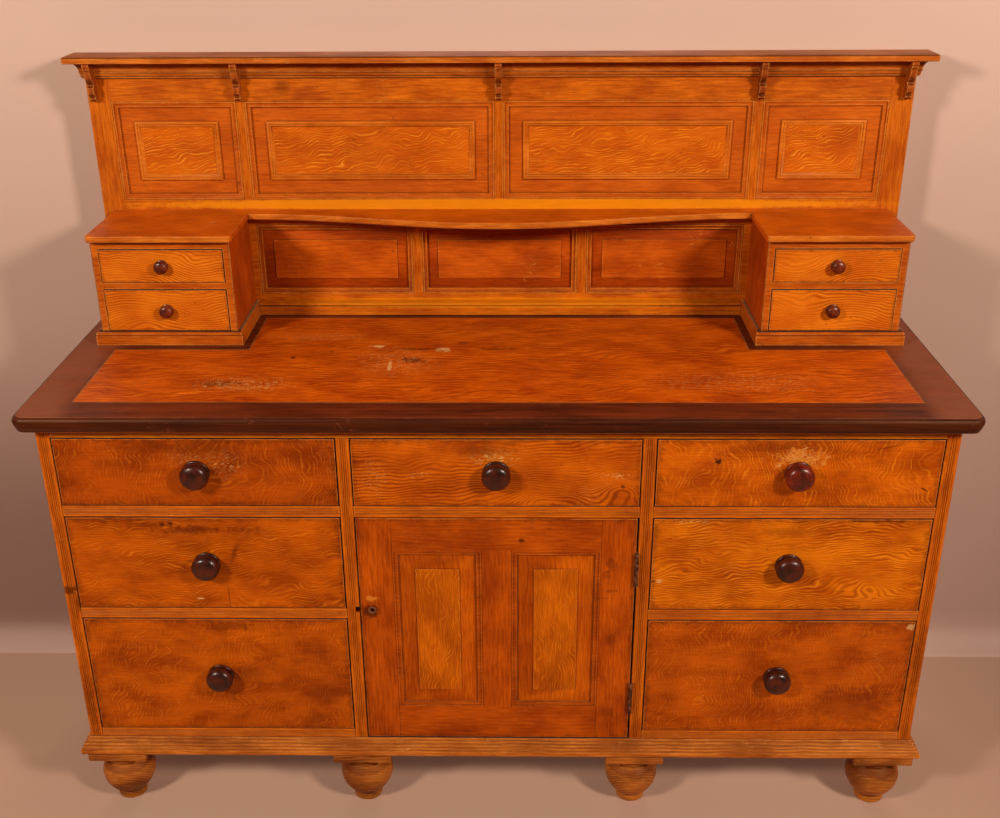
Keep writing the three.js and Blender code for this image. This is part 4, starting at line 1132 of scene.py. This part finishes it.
LARGE_DRAWERS = {
    "left upper": (
        Figure(
            1.42, 0.008, 3.4, 3.6, 0.2, 0.6, 0.5, 1,
            ((-0.03, 0.0, 0.08, 0.06, 5), (0.12, -0.01, 0.06, 0.05, -4.5)),
        ),
        tone(132, 46, 1), tone(178, 72, 3), tone(206, 106, 14), (
            (SHADE, -0.63, 0.833, 0.11, 0.014, 0.45, 0.6, 0.9), (SHADE, -0.52, 0.825, 0.09, 0.026, 0.5, 0.5, 0.9),
            (FLECKS, -0.495, 0.797, 0.06, 0.04, 0.45, 0.6, 0.9), (FLECKS, -0.56, 0.81, 0.05, 0.02, 0.35, 0.6, 0.9),
        ),
    ),
    "left middle": (
        Figure(
            0.12, 0.0054, 3.8, 3.8, 0.4, 0.55, 0.5, 2, ((-0.17, -0.07, 0.05, 0.045, 6), (0.12, -0.02, 0.07, 0.04, 5)),
        ),
        tone(152, 58, 1), tone(198, 88, 3), tone(218, 122, 16), (
            (SHADE, -0.56, 0.662, 0.095, 0.014, 0.85, 0.8, 0.9), (SHADE, -0.635, 0.67, 0.06, 0.01, 0.6, 1.0, 0.9),
            (STAIN, -0.62, 0.672, 0.008, 0.006, 0.8, 0.7), (STAIN, -0.603, 0.674, 0.006, 0.006, 0.8, 0.7),
            (STAIN, -0.49, 0.613, 0.008, 0.032, 0.5, 0.7, 0.9, -0.35),
            (SHADE, -0.47, 0.66, 0.07, 0.014, 0.4, 0.8, 0.9), (RING, -0.351, 0.505, 0.007, 0.007, 0.7, 0.1),
            (BARE, -0.565, 0.51, 0.008, 0.0025, 0.8, 0.6), (SHADE, -0.51, 0.51, 0.0012, 0.05, 0.7, 0.4),
        ),
    ),
    "left lower": (
        Figure(1.3, 0.0072, 3.4, 3.8, 0.2, 0.42, 0.55, 3, ((-0.16, 0.04, 0.06, 0.06, 4), (0.12, 0.0, 0.07, 0.06, -4))),
        tone(146, 54, 1), tone(194, 86, 3), tone(214, 116, 18), (
            (SHADE, -0.52, 0.446, 0.06, 0.014, 0.6, 0.8), (SHADE, -0.49, 0.331, 0.05, 0.03, 0.35, 0.8),
        ),
    ),
    "right upper": (
        Figure(1.7, 0.008, 3.4, 3.4, 0.2, 0.6, 0.5, 5, ((0.17, -0.01, 0.07, 0.06, 4), (-0.08, 0.01, 0.1, 0.07, -3))),
        tone(158, 60, 1), tone(206, 94, 4), tone(226, 130, 22), (
            (SHADE, 0.5, 0.832, 0.12, 0.014, 0.5, 0.7, 0.9), (RUBBED, 0.54, 0.81, 0.05, 0.022, 0.7, 1.5, 0.6),
            (FLECKS, 0.54, 0.812, 0.065, 0.03, 0.95, 0.8, 0.8), (STAIN, 0.398, 0.804, 0.008, 0.007, 0.95, 1.3),
            (STAIN, 0.7, 0.834, 0.03, 0.0015, 0.7, 0.4, 0.6, 0.2),
            (STAIN, 0.774, 0.748, 0.012, 0.0018, 0.8, 0.5, 0.6, -0.5),
        ),
    ),
    "right middle": (
        Figure(
            0.05, 0.0056, 3.6, 3.2, 0.7, 0.5, 0.5, 6,
            ((0.128, -0.022, 0.06, 0.022, 4), (0.16, -0.046, 0.05, 0.018, 4)),
        ),
        tone(178, 76, 2), tone(220, 112, 6), tone(238, 146, 26), (
            (SHADE, 0.29, 0.5515, 0.012, 0.0035, 0.8, 0.5), (BARE, 0.305, 0.552, 0.008, 0.006, 0.5, 0.4),
            (FLECKS, 0.37, 0.681, 0.06, 0.006, 0.9, 0.8), (STAIN, 0.69, 0.683, 0.07, 0.004, 0.7, 0.9),
            (SHADE, 0.55, 0.66, 0.1, 0.016, 0.35, 0.8, 0.9),
        ),
    ),
    "right lower": (
        Figure(
            1.45, 0.0072, 3.4, 3.8, 0.2, 0.42, 0.55, 7, ((0.15, 0.04, 0.07, 0.06, 4), (-0.12, -0.03, 0.07, 0.06, -4)),
        ),
        tone(150, 56, 2), tone(192, 84, 5), tone(216, 118, 20), (
            (BARE, 0.79, 0.45, 0.01, 0.008, 0.75, 1.0), (SHADE, 0.694, 0.26, 0.11, 0.06, 0.4, 0.7),
        ),
    ),
    "centre": (
        Figure(
            0.04, 0.0066, 2.4, 1.6, 0.85, 0.2, 0.5, 9,
            ((0.23, -0.027, 0.042, 0.034, 8), (0.105, -0.05, 0.08, 0.035, 7)),
        ),
        tone(174, 70, 2), tone(210, 98, 6), tone(230, 126, 20), (
            (RUBBED, -0.004, 0.812, 0.03, 0.014, 0.6, 1.4, 0.8),
            (FLECKS, -0.004, 0.812, 0.06, 0.026, 0.95, 0.8, 0.8),
            (FLECKS, -0.14, 0.776, 0.03, 0.008, 0.7, 0.6, 0.6, 0.2), (FLECKS, -0.22, 0.77, 0.03, 0.05, 0.35),
            (FLECKS, 0.215, 0.775, 0.04, 0.008, 0.8), (SHADE, -0.03, 0.825, 0.09, 0.016, 0.5, 0.8, 0.9),
            (SHADE, 0.23, 0.753, 0.006, 0.005, 0.8, 0.5),
        ),
    ),
}


def large_drawers() -> list[Drawer]:
    """The seven drawers of the chest, each with its own figure and marks.

    Returns:
        The drawers.
    """
    red = Mahogany("red knob mahogany", tone(62, 12, 4), tone(132, 32, 10))
    drawers = []
    for place, (figure, deep, body, bright, rows) in LARGE_DRAWERS.items():
        finish = Grained(
            "drawer " + place, figure=figure, deep=deep, body=body, bright=bright,
            cloud=0.5 if "lower" in place else 0.4, marks=marks_on(CASE_FRONT, rows),
        )
        knob = red if place == "right upper" else Mahogany()
        drawers.append(Drawer("drawer_" + place.replace(" ", "_"), finish, knob))
    return drawers


def small_drawers() -> list[Drawer]:
    """The four drawers of the boxes.

    Returns:
        The drawers.
    """
    pale = Grained(
        "small drawer", deep=tone(200, 90, 8), body=tone(224, 114, 16), bright=tone(240, 146, 42), scratch=0.3,
    )
    knob = Mahogany("small knob mahogany", tone(66, 18, 6), tone(132, 46, 16))
    drawers = []
    for side, sign, seed in (("left", -1, 20), ("right", 1, 23)):
        for level, slope, cloud, step in (("upper", 0.1, 0.6, 0), ("lower", -0.05, 0.2, 1)):
            knots = ((0.05 * sign, -0.02, 0.05, 0.03, 3), (-0.06 * sign, 0.0, 0.04, 0.03, -2.5))
            figure = Figure(slope * sign, 0.0058, 2.4, 1.6, 0.7, 0.3, 0.4, seed + step, knots)
            finish = replace(pale, name=f"small drawer {side} {level}", figure=figure, cloud=cloud)
            drawers.append(Drawer(f"small_drawer_{side}_{level}", finish, knob, BOX_FRONT, BOX_PINE, 0.005))
    return drawers


@dataclass
class Cupboard:
    """The door in the middle, its hinges, its lock and the ring of its keyhole."""

    half: float = 0.2599
    low: float = 0.1815
    height: float = 0.5043
    stile: float = 0.0645
    top_rail: float = 0.068
    bottom_rail: float = 0.075
    muntin: float = 0.056
    moulding: float = 0.012
    bevel: float = 0.028
    end_bevel: float = 0.02

    def build(self, shop: Workshop) -> None:
        """Dresses the door and its iron."""
        border = Border.of("door", 0.009)
        middle = border.centre[0]
        panel_low, panel_high = self.low + self.bottom_rail, self.low + self.height - self.top_rail
        paint = Grained(
            "door frame", figure=Figure(0, 0.009, 1.0, 0.3, 0.18, 0.06, 1.0, 11), groove=0.6, cloud=0.45,
            deep=tone(156, 58, 2), body=tone(190, 80, 4), border=border, origin=(middle, CASE_FRONT, 0.4),
            uprights=(
                Upright(-self.half + self.stile / 2 + middle, self.stile / 2),
                Upright(self.half - self.stile / 2 + middle, self.stile / 2),
                Upright(middle, self.muntin / 2, panel_low, panel_high),
            ),
            marks=marks_on(CASE_FRONT, (
                (RUBBED, -0.24, 0.511, 0.014, 0.008, 0.75, 1.2), (STAIN, -0.241, 0.485, 0.02, 0.02, 0.75, 0.8),
                (SHADE, 0.214, 0.587, 0.012, 0.018, 0.45, 1.3), (SHADE, 0.206, 0.565, 0.01, 0.01, 0.4, 1.3),
                (SHADE, 0.217, 0.53, 0.014, 0.006, 0.45, 1.3), (SHADE, 0.219, 0.418, 0.013, 0.026, 0.45, 1.3),
                (SHADE, 0.217, 0.243, 0.016, 0.014, 0.4, 1.3), (SHADE, 0.13, 0.5135, 0.135, 0.0018, 0.85, 0.5),
                (STAIN, 0.047, 0.639, 0.008, 0.006, 0.8, 0.8),
            )),
        )
        panel = Grained(
            "door field", Grain.UPRIGHT, Figure(0.05, 0.0056, 3.2, 4.0, 0.4, 0.65, 0.8, 13, stroke=0.5),
            deep=tone(170, 74, 2), body=tone(204, 98, 4), bright=tone(226, 130, 18), wear=0.9,
        )
        # The door's bevels take painted light and shade by the way they turn.
        bevel = replace(
            panel, name="door bevel", figure=Figure(0.02, 0.01, 0.8, 0.3, 0.18, 0.08, 1.0, 14),
            deep=tone(166, 66, 2), body=tone(192, 86, 4), tilt=1.0,
        )
        patches = []
        room = (self.half * 2 - 2 * self.stile - self.muntin) / 2
        for side in (-1, 1):
            centre = middle + side * (self.muntin + room) / 2
            inner = room / 2 - self.moulding
            for made, inset, inset_z, low_y, high_y in (
                (bevel, 0.0, 0.0, 0.0005, 0.014), (panel, self.bevel, self.end_bevel, 0.0007, 0.0013),
            ):
                patches.append(Patch(
                    made, (centre - inner + inset, CASE_FRONT + low_y, panel_low + self.moulding + inset_z),
                    (centre + inner - inset, CASE_FRONT + high_y, panel_high - self.moulding - inset_z),
                ))
        behind = BarePine("bare pine of the door", Grain.UPRIGHT, -FAR)
        patches.append(Patch(behind, (-FAR, CASE_FRONT + 0.006, -FAR), facing=(0, 1, 0)))
        shop.joinery("door", paint, *patches)
        hinges = (f"hinge_{place}_{leaf}" for place in ("upper", "lower") for leaf in ("fixed", "moving"))
        for node in ("lock_bolt", *hinges):
            piece = frame["nodes"][node]
            piece.data.materials.clear()
            piece.data.materials.append(Iron().material())
            LOG.info("%s: finished in iron", node)
        KeyholeRing().build(shop)


@dataclass
class WorkSurface:
    """The worktop, with its painted border."""

    marks: tuple[tuple, ...] = (
        (BARE, -0.238, 0.058, 0.02, 0.008, 0.9, 1.2), (BARE, -0.109, 0.041, 0.018, 0.014, 0.85, 1.4),
        (BARE, -0.207, -0.044, 0.005, 0.034, 0.8, 1.3), (STAIN, -0.165, -0.013, 0.03, 0.016, 0.75, 1.4),
        (STAIN, -0.16, 0.045, 0.05, 0.007, 0.7, 1.2), (STAIN, 0.0, 0.045, 0.05, 0.01, 0.45, 1.4),
        (STAIN, -0.07, 0.075, 0.012, 0.01, 0.5, 1.1), (SHADE, -0.52, -0.131, 0.05, 0.018, 0.6, 1.6),
        (RUBBED, -0.46, -0.15, 0.06, 0.012, 0.4, 1.6), (FLECKS, -0.47, -0.13, 0.11, 0.04, 0.85, 1.0),
        (FLECKS, -0.2, -0.02, 0.09, 0.09, 0.6, 1.0), (FLECKS, -0.36, 0.11, 0.12, 0.03, 0.5, 1.0),
        (FLECKS, 0.45, -0.12, 0.2, 0.06, 0.4, 1.2), (STAIN, -0.4, 0.0, 0.006, 0.008, 0.8, 0.8),
        (STAIN, -0.33, 0.03, 0.004, 0.006, 0.7, 0.8),
    )

    def build(self, shop: Workshop) -> None:
        """Dresses the worktop. Its marks' rows give x, y and the reach in each."""
        knots = ((-0.6, -0.05, 0.3, 0.12, 9), (0.55, -0.1, 0.3, 0.1, 5))
        finish = WorktopPaint(
            figure=Figure(0.1, 0.011, 3.6, 1.0, 0.5, 0.4, 1.0, 31, knots, 170), deep=tone(178, 66, 3),
            body=tone(212, 92, 6), bright=tone(226, 122, 30), worn=tone(166, 82, 44), dirt=tone(38, 12, 6),
            cloud=0.3, scratch=0.6, roughness=0.4, marks=tuple(
                Mark(trace, (x, y, TOP), (wide, long, 0.02), *rest) for trace, x, y, wide, long, *rest in self.marks
            ),
        )
        under = Patch(BACK_PINE, high=(FAR, FAR, 0.8755), facing=(0, 0, -1))
        shop.joinery("worktop", finish, under, slot="worktop")


@dataclass
class Boxes:
    """The two boxes of drawers on the worktop, with the shelf over them."""

    skirting_top: float = 0.9325

    def build(self, shop: Workshop) -> None:
        """Dresses the boxes and the shelf."""
        box = Grained(
            "box frame", figure=Figure(0, 0.011, 0.8, 0.3, 0.2, 0.1, 1.0, 41), deep=tone(172, 72, 9),
            body=tone(200, 94, 16), worn=tone(226, 150, 70), cloud=0.3, groove=0.3, wear=0.6, grime=0.35,
        )
        side = replace(box, name="box side", grain=Grain.UPRIGHT, deep=tone(156, 56, 6), body=tone(192, 76, 9))
        for name in ("drawer_case_left", "drawer_case_right"):
            low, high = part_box(name)
            inside = Patch(BOX_PINE, (low.x + 0.02, low.y + 0.014, -FAR), (high.x - 0.02, FAR, FAR))
            aside = (-FAR, low.y + 0.012, self.skirting_top)
            shop.joinery(name, box, *(Patch(side, aside, facing=(way, 0, 0)) for way in (1, -1)), inside)
        shelf = Grained(
            "shelf", figure=Figure(0.03, 0.012, 1.4, 0.4, 0.25, 0.1, 0.9, 43), deep=tone(186, 76, 3),
            body=tone(214, 96, 5), worn=tone(214, 150, 100), wear=0.9, roughness=0.36,
        )
        nose = replace(shelf, name="shelf nose", deep=tone(190, 90, 16), body=tone(216, 116, 32), cloud=0.55)
        shop.joinery("plate_shelf", shelf, Patch(nose, facing=(0, -1, 0)), Patch(BACK_PINE, facing=(0, 0, -1)))


@dataclass
class PanelledBack:
    """The low back: its frame, seven panels, cornice and corbels."""

    ring: float = 0.0395
    ring_width: float = 0.013
    upper: tuple[float, float] = (1.1515, 1.351)
    lower: tuple[float, float] = (0.9475, 1.0975)
    stile: tuple[float, float] = (0.79875, 0.02275)
    upper_muntin: tuple[float, float] = (0.5175, 0.0085)
    lower_muntin: tuple[float, float] = (0.1725, 0.00975)

    def build(self, shop: Workshop) -> None:
        """Dresses every piece of the back."""
        self.framing(shop)
        ground = Grained(
            "panel ground", figure=Figure(0, 0.012, 0.8, 0.3, 0.12, 0.06, 0.8, 53), groove=0.45,
            deep=tone(182, 76, 10), body=tone(202, 92, 16), worn=tone(228, 140, 44), wear=0.7, grime=0.6, cloud=0.25,
        )
        self.panels(shop, ground)
        cornice = Grained(
            "cornice", figure=Figure(0, 0.012, 0.8, 0.3, 0.2, 0.06, 1.0, 59), deep=tone(186, 88, 20),
            body=tone(212, 112, 32), worn=tone(226, 152, 72), cloud=0.55, grime=0.95, groove=0.6,
        )
        lid = replace(cornice, name="cornice top", deep=tone(146, 70, 20), body=tone(182, 96, 32))
        shop.joinery("cornice", cornice, Patch(lid, facing=(0, 0, 1)), Patch(BACK_PINE, facing=(0, 1, 0)))
        corbel = replace(cornice, name="corbel", grain=Grain.UPRIGHT, deep=tone(140, 58, 14), body=tone(172, 78, 22))
        for number in range(1, 6):
            shop.joinery(f"corbel_{number}", corbel, width=0.0006)

    def framing(self, shop: Workshop) -> None:
        """Dresses the frame. An upright's numbers are its middle and half width in x."""
        (stile, stile_half), (high, high_half), (low, low_half) = self.stile, self.upper_muntin, self.lower_muntin
        finish = Grained(
            "back frame", figure=Figure(0, 0.012, 0.9, 0.3, 0.2, 0.08, 1.0, 51), deep=tone(174, 74, 8),
            body=tone(206, 100, 12), bright=tone(222, 124, 26), worn=tone(228, 146, 52), cloud=0.22, groove=0.4,
            grime=0.6, seam=0.25, uprights=(
                Upright(-stile, stile_half), Upright(stile, stile_half),
                *(Upright(x, high_half, *self.upper) for x in (0.0, -high, high)),
                *(Upright(x, low_half, *self.lower) for x in (-low, low)),
            ),
            marks=marks_on(BACK_FACE, (
                # The two long gold bands are painted light, reflected onto the rails from the shelf and the worktop
                # below them.
                (GOLD, 0, 1.141, 0.86, 0.014, 0.7, 0.2, 0.3), (GOLD, 0, 0.928, 0.6, 0.012, 0.4, 0.2, 0.3),
                (SHADE, -0.43, 1.379, 0.024, 0.022, 0.5, 0.2, 0.8),
            ), 0.03),
        )
        shop.joinery("back_frame", finish, Patch(BACK_PINE, (-FAR, BACK_FACE + 0.015, -FAR)))

    def panels(self, shop: Workshop, ground: Grained) -> None:
        """Dresses the four ringed upper panels and the board of the lower ones.

        Args:
            shop: where the pieces are placed.
            ground: the finish of the panels' plain parts.
        """
        inner = replace(
            ground, name="panel field", figure=Figure(0.2, 0.0056, 3.6, 3.6, 0.3, 0.7, 0.5, 55),
            groove=0.0, deep=tone(190, 80, 6), body=tone(214, 100, 10), bright=tone(244, 152, 32), cloud=0.35,
        )
        moulding = replace(ground, name="panel moulding", deep=tone(196, 90, 12), body=tone(220, 112, 24), groove=0.5)
        inset, edge = self.ring + self.ring_width - 0.001, self.ring - 0.002
        for place in ("outer_left", "inner_left", "inner_right", "outer_right"):
            low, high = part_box("panel_" + place)
            shop.joinery(
                "panel_" + place, ground, Patch(BACK_PINE, (-FAR, BACK_FACE + 0.015, -FAR)),
                Patch(
                    moulding, (low.x + edge, -FAR, low.z + edge), (high.x - edge, BACK_FACE + 0.0056, high.z - edge),
                ),
                Patch(
                    inner, (low.x + inset, -FAR, low.z + inset), (high.x - inset, BACK_FACE + 0.012, high.z - inset),
                    (0, -1, 0), True,
                ),
                slot="panel",
            )
        # The lower panels' bevels take painted light and shade by the way they turn.
        lower = replace(
            ground, name="lower panels", figure=Figure(0.03, 0.01, 1.6, 0.8, 0.15, 0.2, 0.8, 57), groove=0.6, tilt=0.8,
            deep=tone(150, 52, 5), body=tone(180, 70, 8), bright=tone(200, 92, 18),
        )
        raised = replace(lower, name="lower field", deep=tone(168, 64, 6), body=tone(202, 88, 12), tilt=0.0)
        shop.joinery(
            "lower_panels", lower, Patch(raised, high=(FAR, BACK_FACE + 0.0036, FAR), facing=(0, -1, 0)),
            Patch(BACK_PINE, facing=(0, 1, 0)), slot="panel",
        )


@dataclass(frozen=True)
class Lamp:
    """A soft square lamp."""

    name: str
    place: Point
    aim: Point
    size: float
    power: float
    colour: Point = (1.0, 0.97, 0.93)

    def build(self) -> None:
        """Hangs the lamp."""
        data = bpy.data.lights.new(self.name, "AREA")
        data.shape, data.size, data.energy, data.color = "SQUARE", self.size, self.power, self.colour
        lamp = bpy.data.objects.new(self.name, data)
        lamp.location = self.place
        lamp.rotation_mode = "QUATERNION"
        lamp.rotation_quaternion = (Vector(self.aim) - Vector(self.place)).to_track_quat("-Z", "Y")
        bpy.context.scene.collection.objects.link(lamp)


LAMPS = (
    Lamp("lamp left", (-2.4, -2.5, 2.6), (-0.1, 0.0, 0.8), 0.5, 91),
    Lamp("lamp right", (2.4, -2.4, 2.6), (0.1, 0.0, 0.8), 0.5, 104),
    Lamp("lamp behind", (0.0, 3.2, 1.1), (0.0, 0.3, 0.8), 1.4, 70),
)


@dataclass
class Studio:
    """The pale floor and wall with painted shadows, the soft lamps and the camera."""

    floor: Colour = tone(190, 148, 122)
    wall: Colour = tone(214, 175, 153)
    wall_place: float = 0.325
    cove: float = 0.055
    reach: float = 9.0
    wall_height: float = 6.0
    camera_place: Point = (0.0406, -2.1492, 1.7791)
    camera_dip: float = 24.6252
    camera_heading: float = -0.9897
    camera_tilt: float = -0.3473
    film: float = 36.0
    focal_share: float = 1.1885

    def build(self) -> None:
        """Sets up everything round the dresser."""
        self.paper("floor", self.floor, self.floor_grid())
        self.paper("wall", self.wall, self.wall_grid())
        for lamp in LAMPS:
            lamp.build()
        world = bpy.data.worlds.new("studio air")
        world.use_nodes = True
        g = Graph(world.node_tree)
        above = g.split(g.out(g.add("TexCoord"), "Generated"))[2]
        g.feed(world.node_tree.nodes["Background"], {
            "Color": (1.0, 0.93, 0.87, 1), "Strength": g.ease(above, -0.35, -0.12, 0.0, 0.09),
        })
        bpy.context.scene.world = world
        bpy.context.scene.view_settings.view_transform = "Standard"
        self.camera()

    def floor_grid(self) -> tuple[np.ndarray, np.ndarray]:
        """A flat square on the floor, as one face."""
        corners = [[-1, -1, 0], [1, -1, 0], [1, 1, 0], [-1, 1, 0]]
        return np.array(corners) * self.reach, np.array([[0, 1, 2, 3]])

    def wall_grid(self) -> tuple[np.ndarray, np.ndarray]:
        """The wall: a profile that leaves the floor in a quarter round and rises, carried along x.

        Returns:
            The points and the faces.
        """
        turn = np.linspace(0, np.pi / 2, 13)
        back = self.wall_place - self.cove + self.cove * np.sin(turn)
        up = 0.0006 + self.cove * (1 - np.cos(turn))
        profile = np.vstack([np.stack([back, up], axis=1), [self.wall_place, self.wall_height]])
        count = len(profile)
        points = np.hstack([np.repeat([[-self.reach], [self.reach]], count, axis=0), np.tile(profile, (2, 1))])
        low = np.arange(count - 1)
        return points, np.stack([low, low + count, low + count + 1, low + 1], axis=1)

    def paper(self, name: str, colour: Colour, shape: tuple[np.ndarray, np.ndarray]) -> None:
        """A matt sheet of the set, seen only from its front, with painted shadows and painted shade. The wall lets
        light through to the rear.

        Args:
            name: the sheet's name.
            colour: its colour.
            shape: its points and faces.
        """
        piece = surface_mesh("studio_" + name, *shape)
        made, g, shader = new_material("studio " + name)
        spot = g.out(g.add("TexCoord"), "Object")
        clouds = g.noise(spot, 0.9, 3.0, 0.6)
        shade = g.blend(g.ease(clouds, 0.3, 0.7), (1, 1, 1, 1), (0.96, 0.95, 0.94, 1))
        x, y, z = g.split(spot)
        # Painted shadow of the dresser on the wall and floor to its right, strongest low down.
        corner = g.ease(x, 0.65, 1.35) * g.ease(z + y * 0.5, 1.5, -0.1)
        shade = g.blend(corner * 0.5, shade, (0.42, 0.36, 0.36, 1))
        # Painted shadow of the chest on the wall to its left, fading onto the floor.
        beside = g.ease(x, -0.6, -1.05) * g.ease(z, 0.95, 0.3) * g.ease(z, -0.03, 0.08) * 0.62
        shade = g.blend(beside, shade, g.tint(shade, (0.3, 0.22, 0.2, 1)))
        # Painted shade: the wall darker below 1.7 m, most below 0.9 m, but not on the floor.
        low = g.ease(z, 1.7, 0.9) * g.ease(z, 0.0, 0.12)
        shade = g.blend(low, shade, g.tint(shade, (0.8, 0.78, 0.77, 1)))
        g.feed(shader, {"Base Color": g.tint(colour, shade), "Roughness": 0.9, "Specular IOR Level": 0.1})
        clear = g.out(g.add("NewGeometry"), "Backfacing")
        if name == "wall":
            clear = g.math("MAXIMUM", clear, g.out(g.add("LightPath"), "Is Shadow Ray"))
        sheet = {0: clear, 1: g.out(shader), 2: g.out(g.add("BsdfTransparent"))}
        output = next(node for node in made.node_tree.nodes if node.type == "OUTPUT_MATERIAL")
        g.feed(output, {"Surface": g.out(g.feed(g.add("MixShader"), sheet))})
        piece.data.materials.append(made)

    def camera(self) -> None:
        """The camera at the photograph's place, from its heading, its dip and its tilt."""
        dip, heading, tilt = map(math.radians, (self.camera_dip, self.camera_heading, self.camera_tilt))
        ahead = Vector((math.sin(heading) * math.cos(dip), math.cos(heading) * math.cos(dip), -math.sin(dip)))
        level = ahead.cross(Vector((0, 0, 1))).normalized()
        upward = level.cross(ahead)
        right = level * math.cos(tilt) + upward * math.sin(tilt)
        above = upward * math.cos(tilt) - level * math.sin(tilt)
        data = bpy.data.cameras.new("camera")
        data.sensor_fit, data.sensor_width, data.lens = "HORIZONTAL", self.film, self.film * self.focal_share
        data.clip_end = 50
        camera = bpy.data.objects.new("camera", data)
        turned = Matrix((right, above, -ahead)).transposed().to_4x4()
        camera.matrix_world = Matrix.Translation(self.camera_place) @ turned
        bpy.context.scene.collection.objects.link(camera)
        bpy.context.scene.camera = camera


def main() -> None:
    """Builds the dresser piece by piece, then its studio."""
    logging.basicConfig(level=logging.INFO, format="%(name)s: %(message)s")
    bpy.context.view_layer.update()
    Effects().build()
    shop = Workshop()
    Chest().build(shop)
    WorkSurface().build(shop)
    for drawer in (*large_drawers(), *small_drawers()):
        drawer.build(shop)
    Cupboard().build(shop)
    Boxes().build(shop)
    PanelledBack().build(shop)
    Studio().build()


if __name__ == "__main__":
    main()
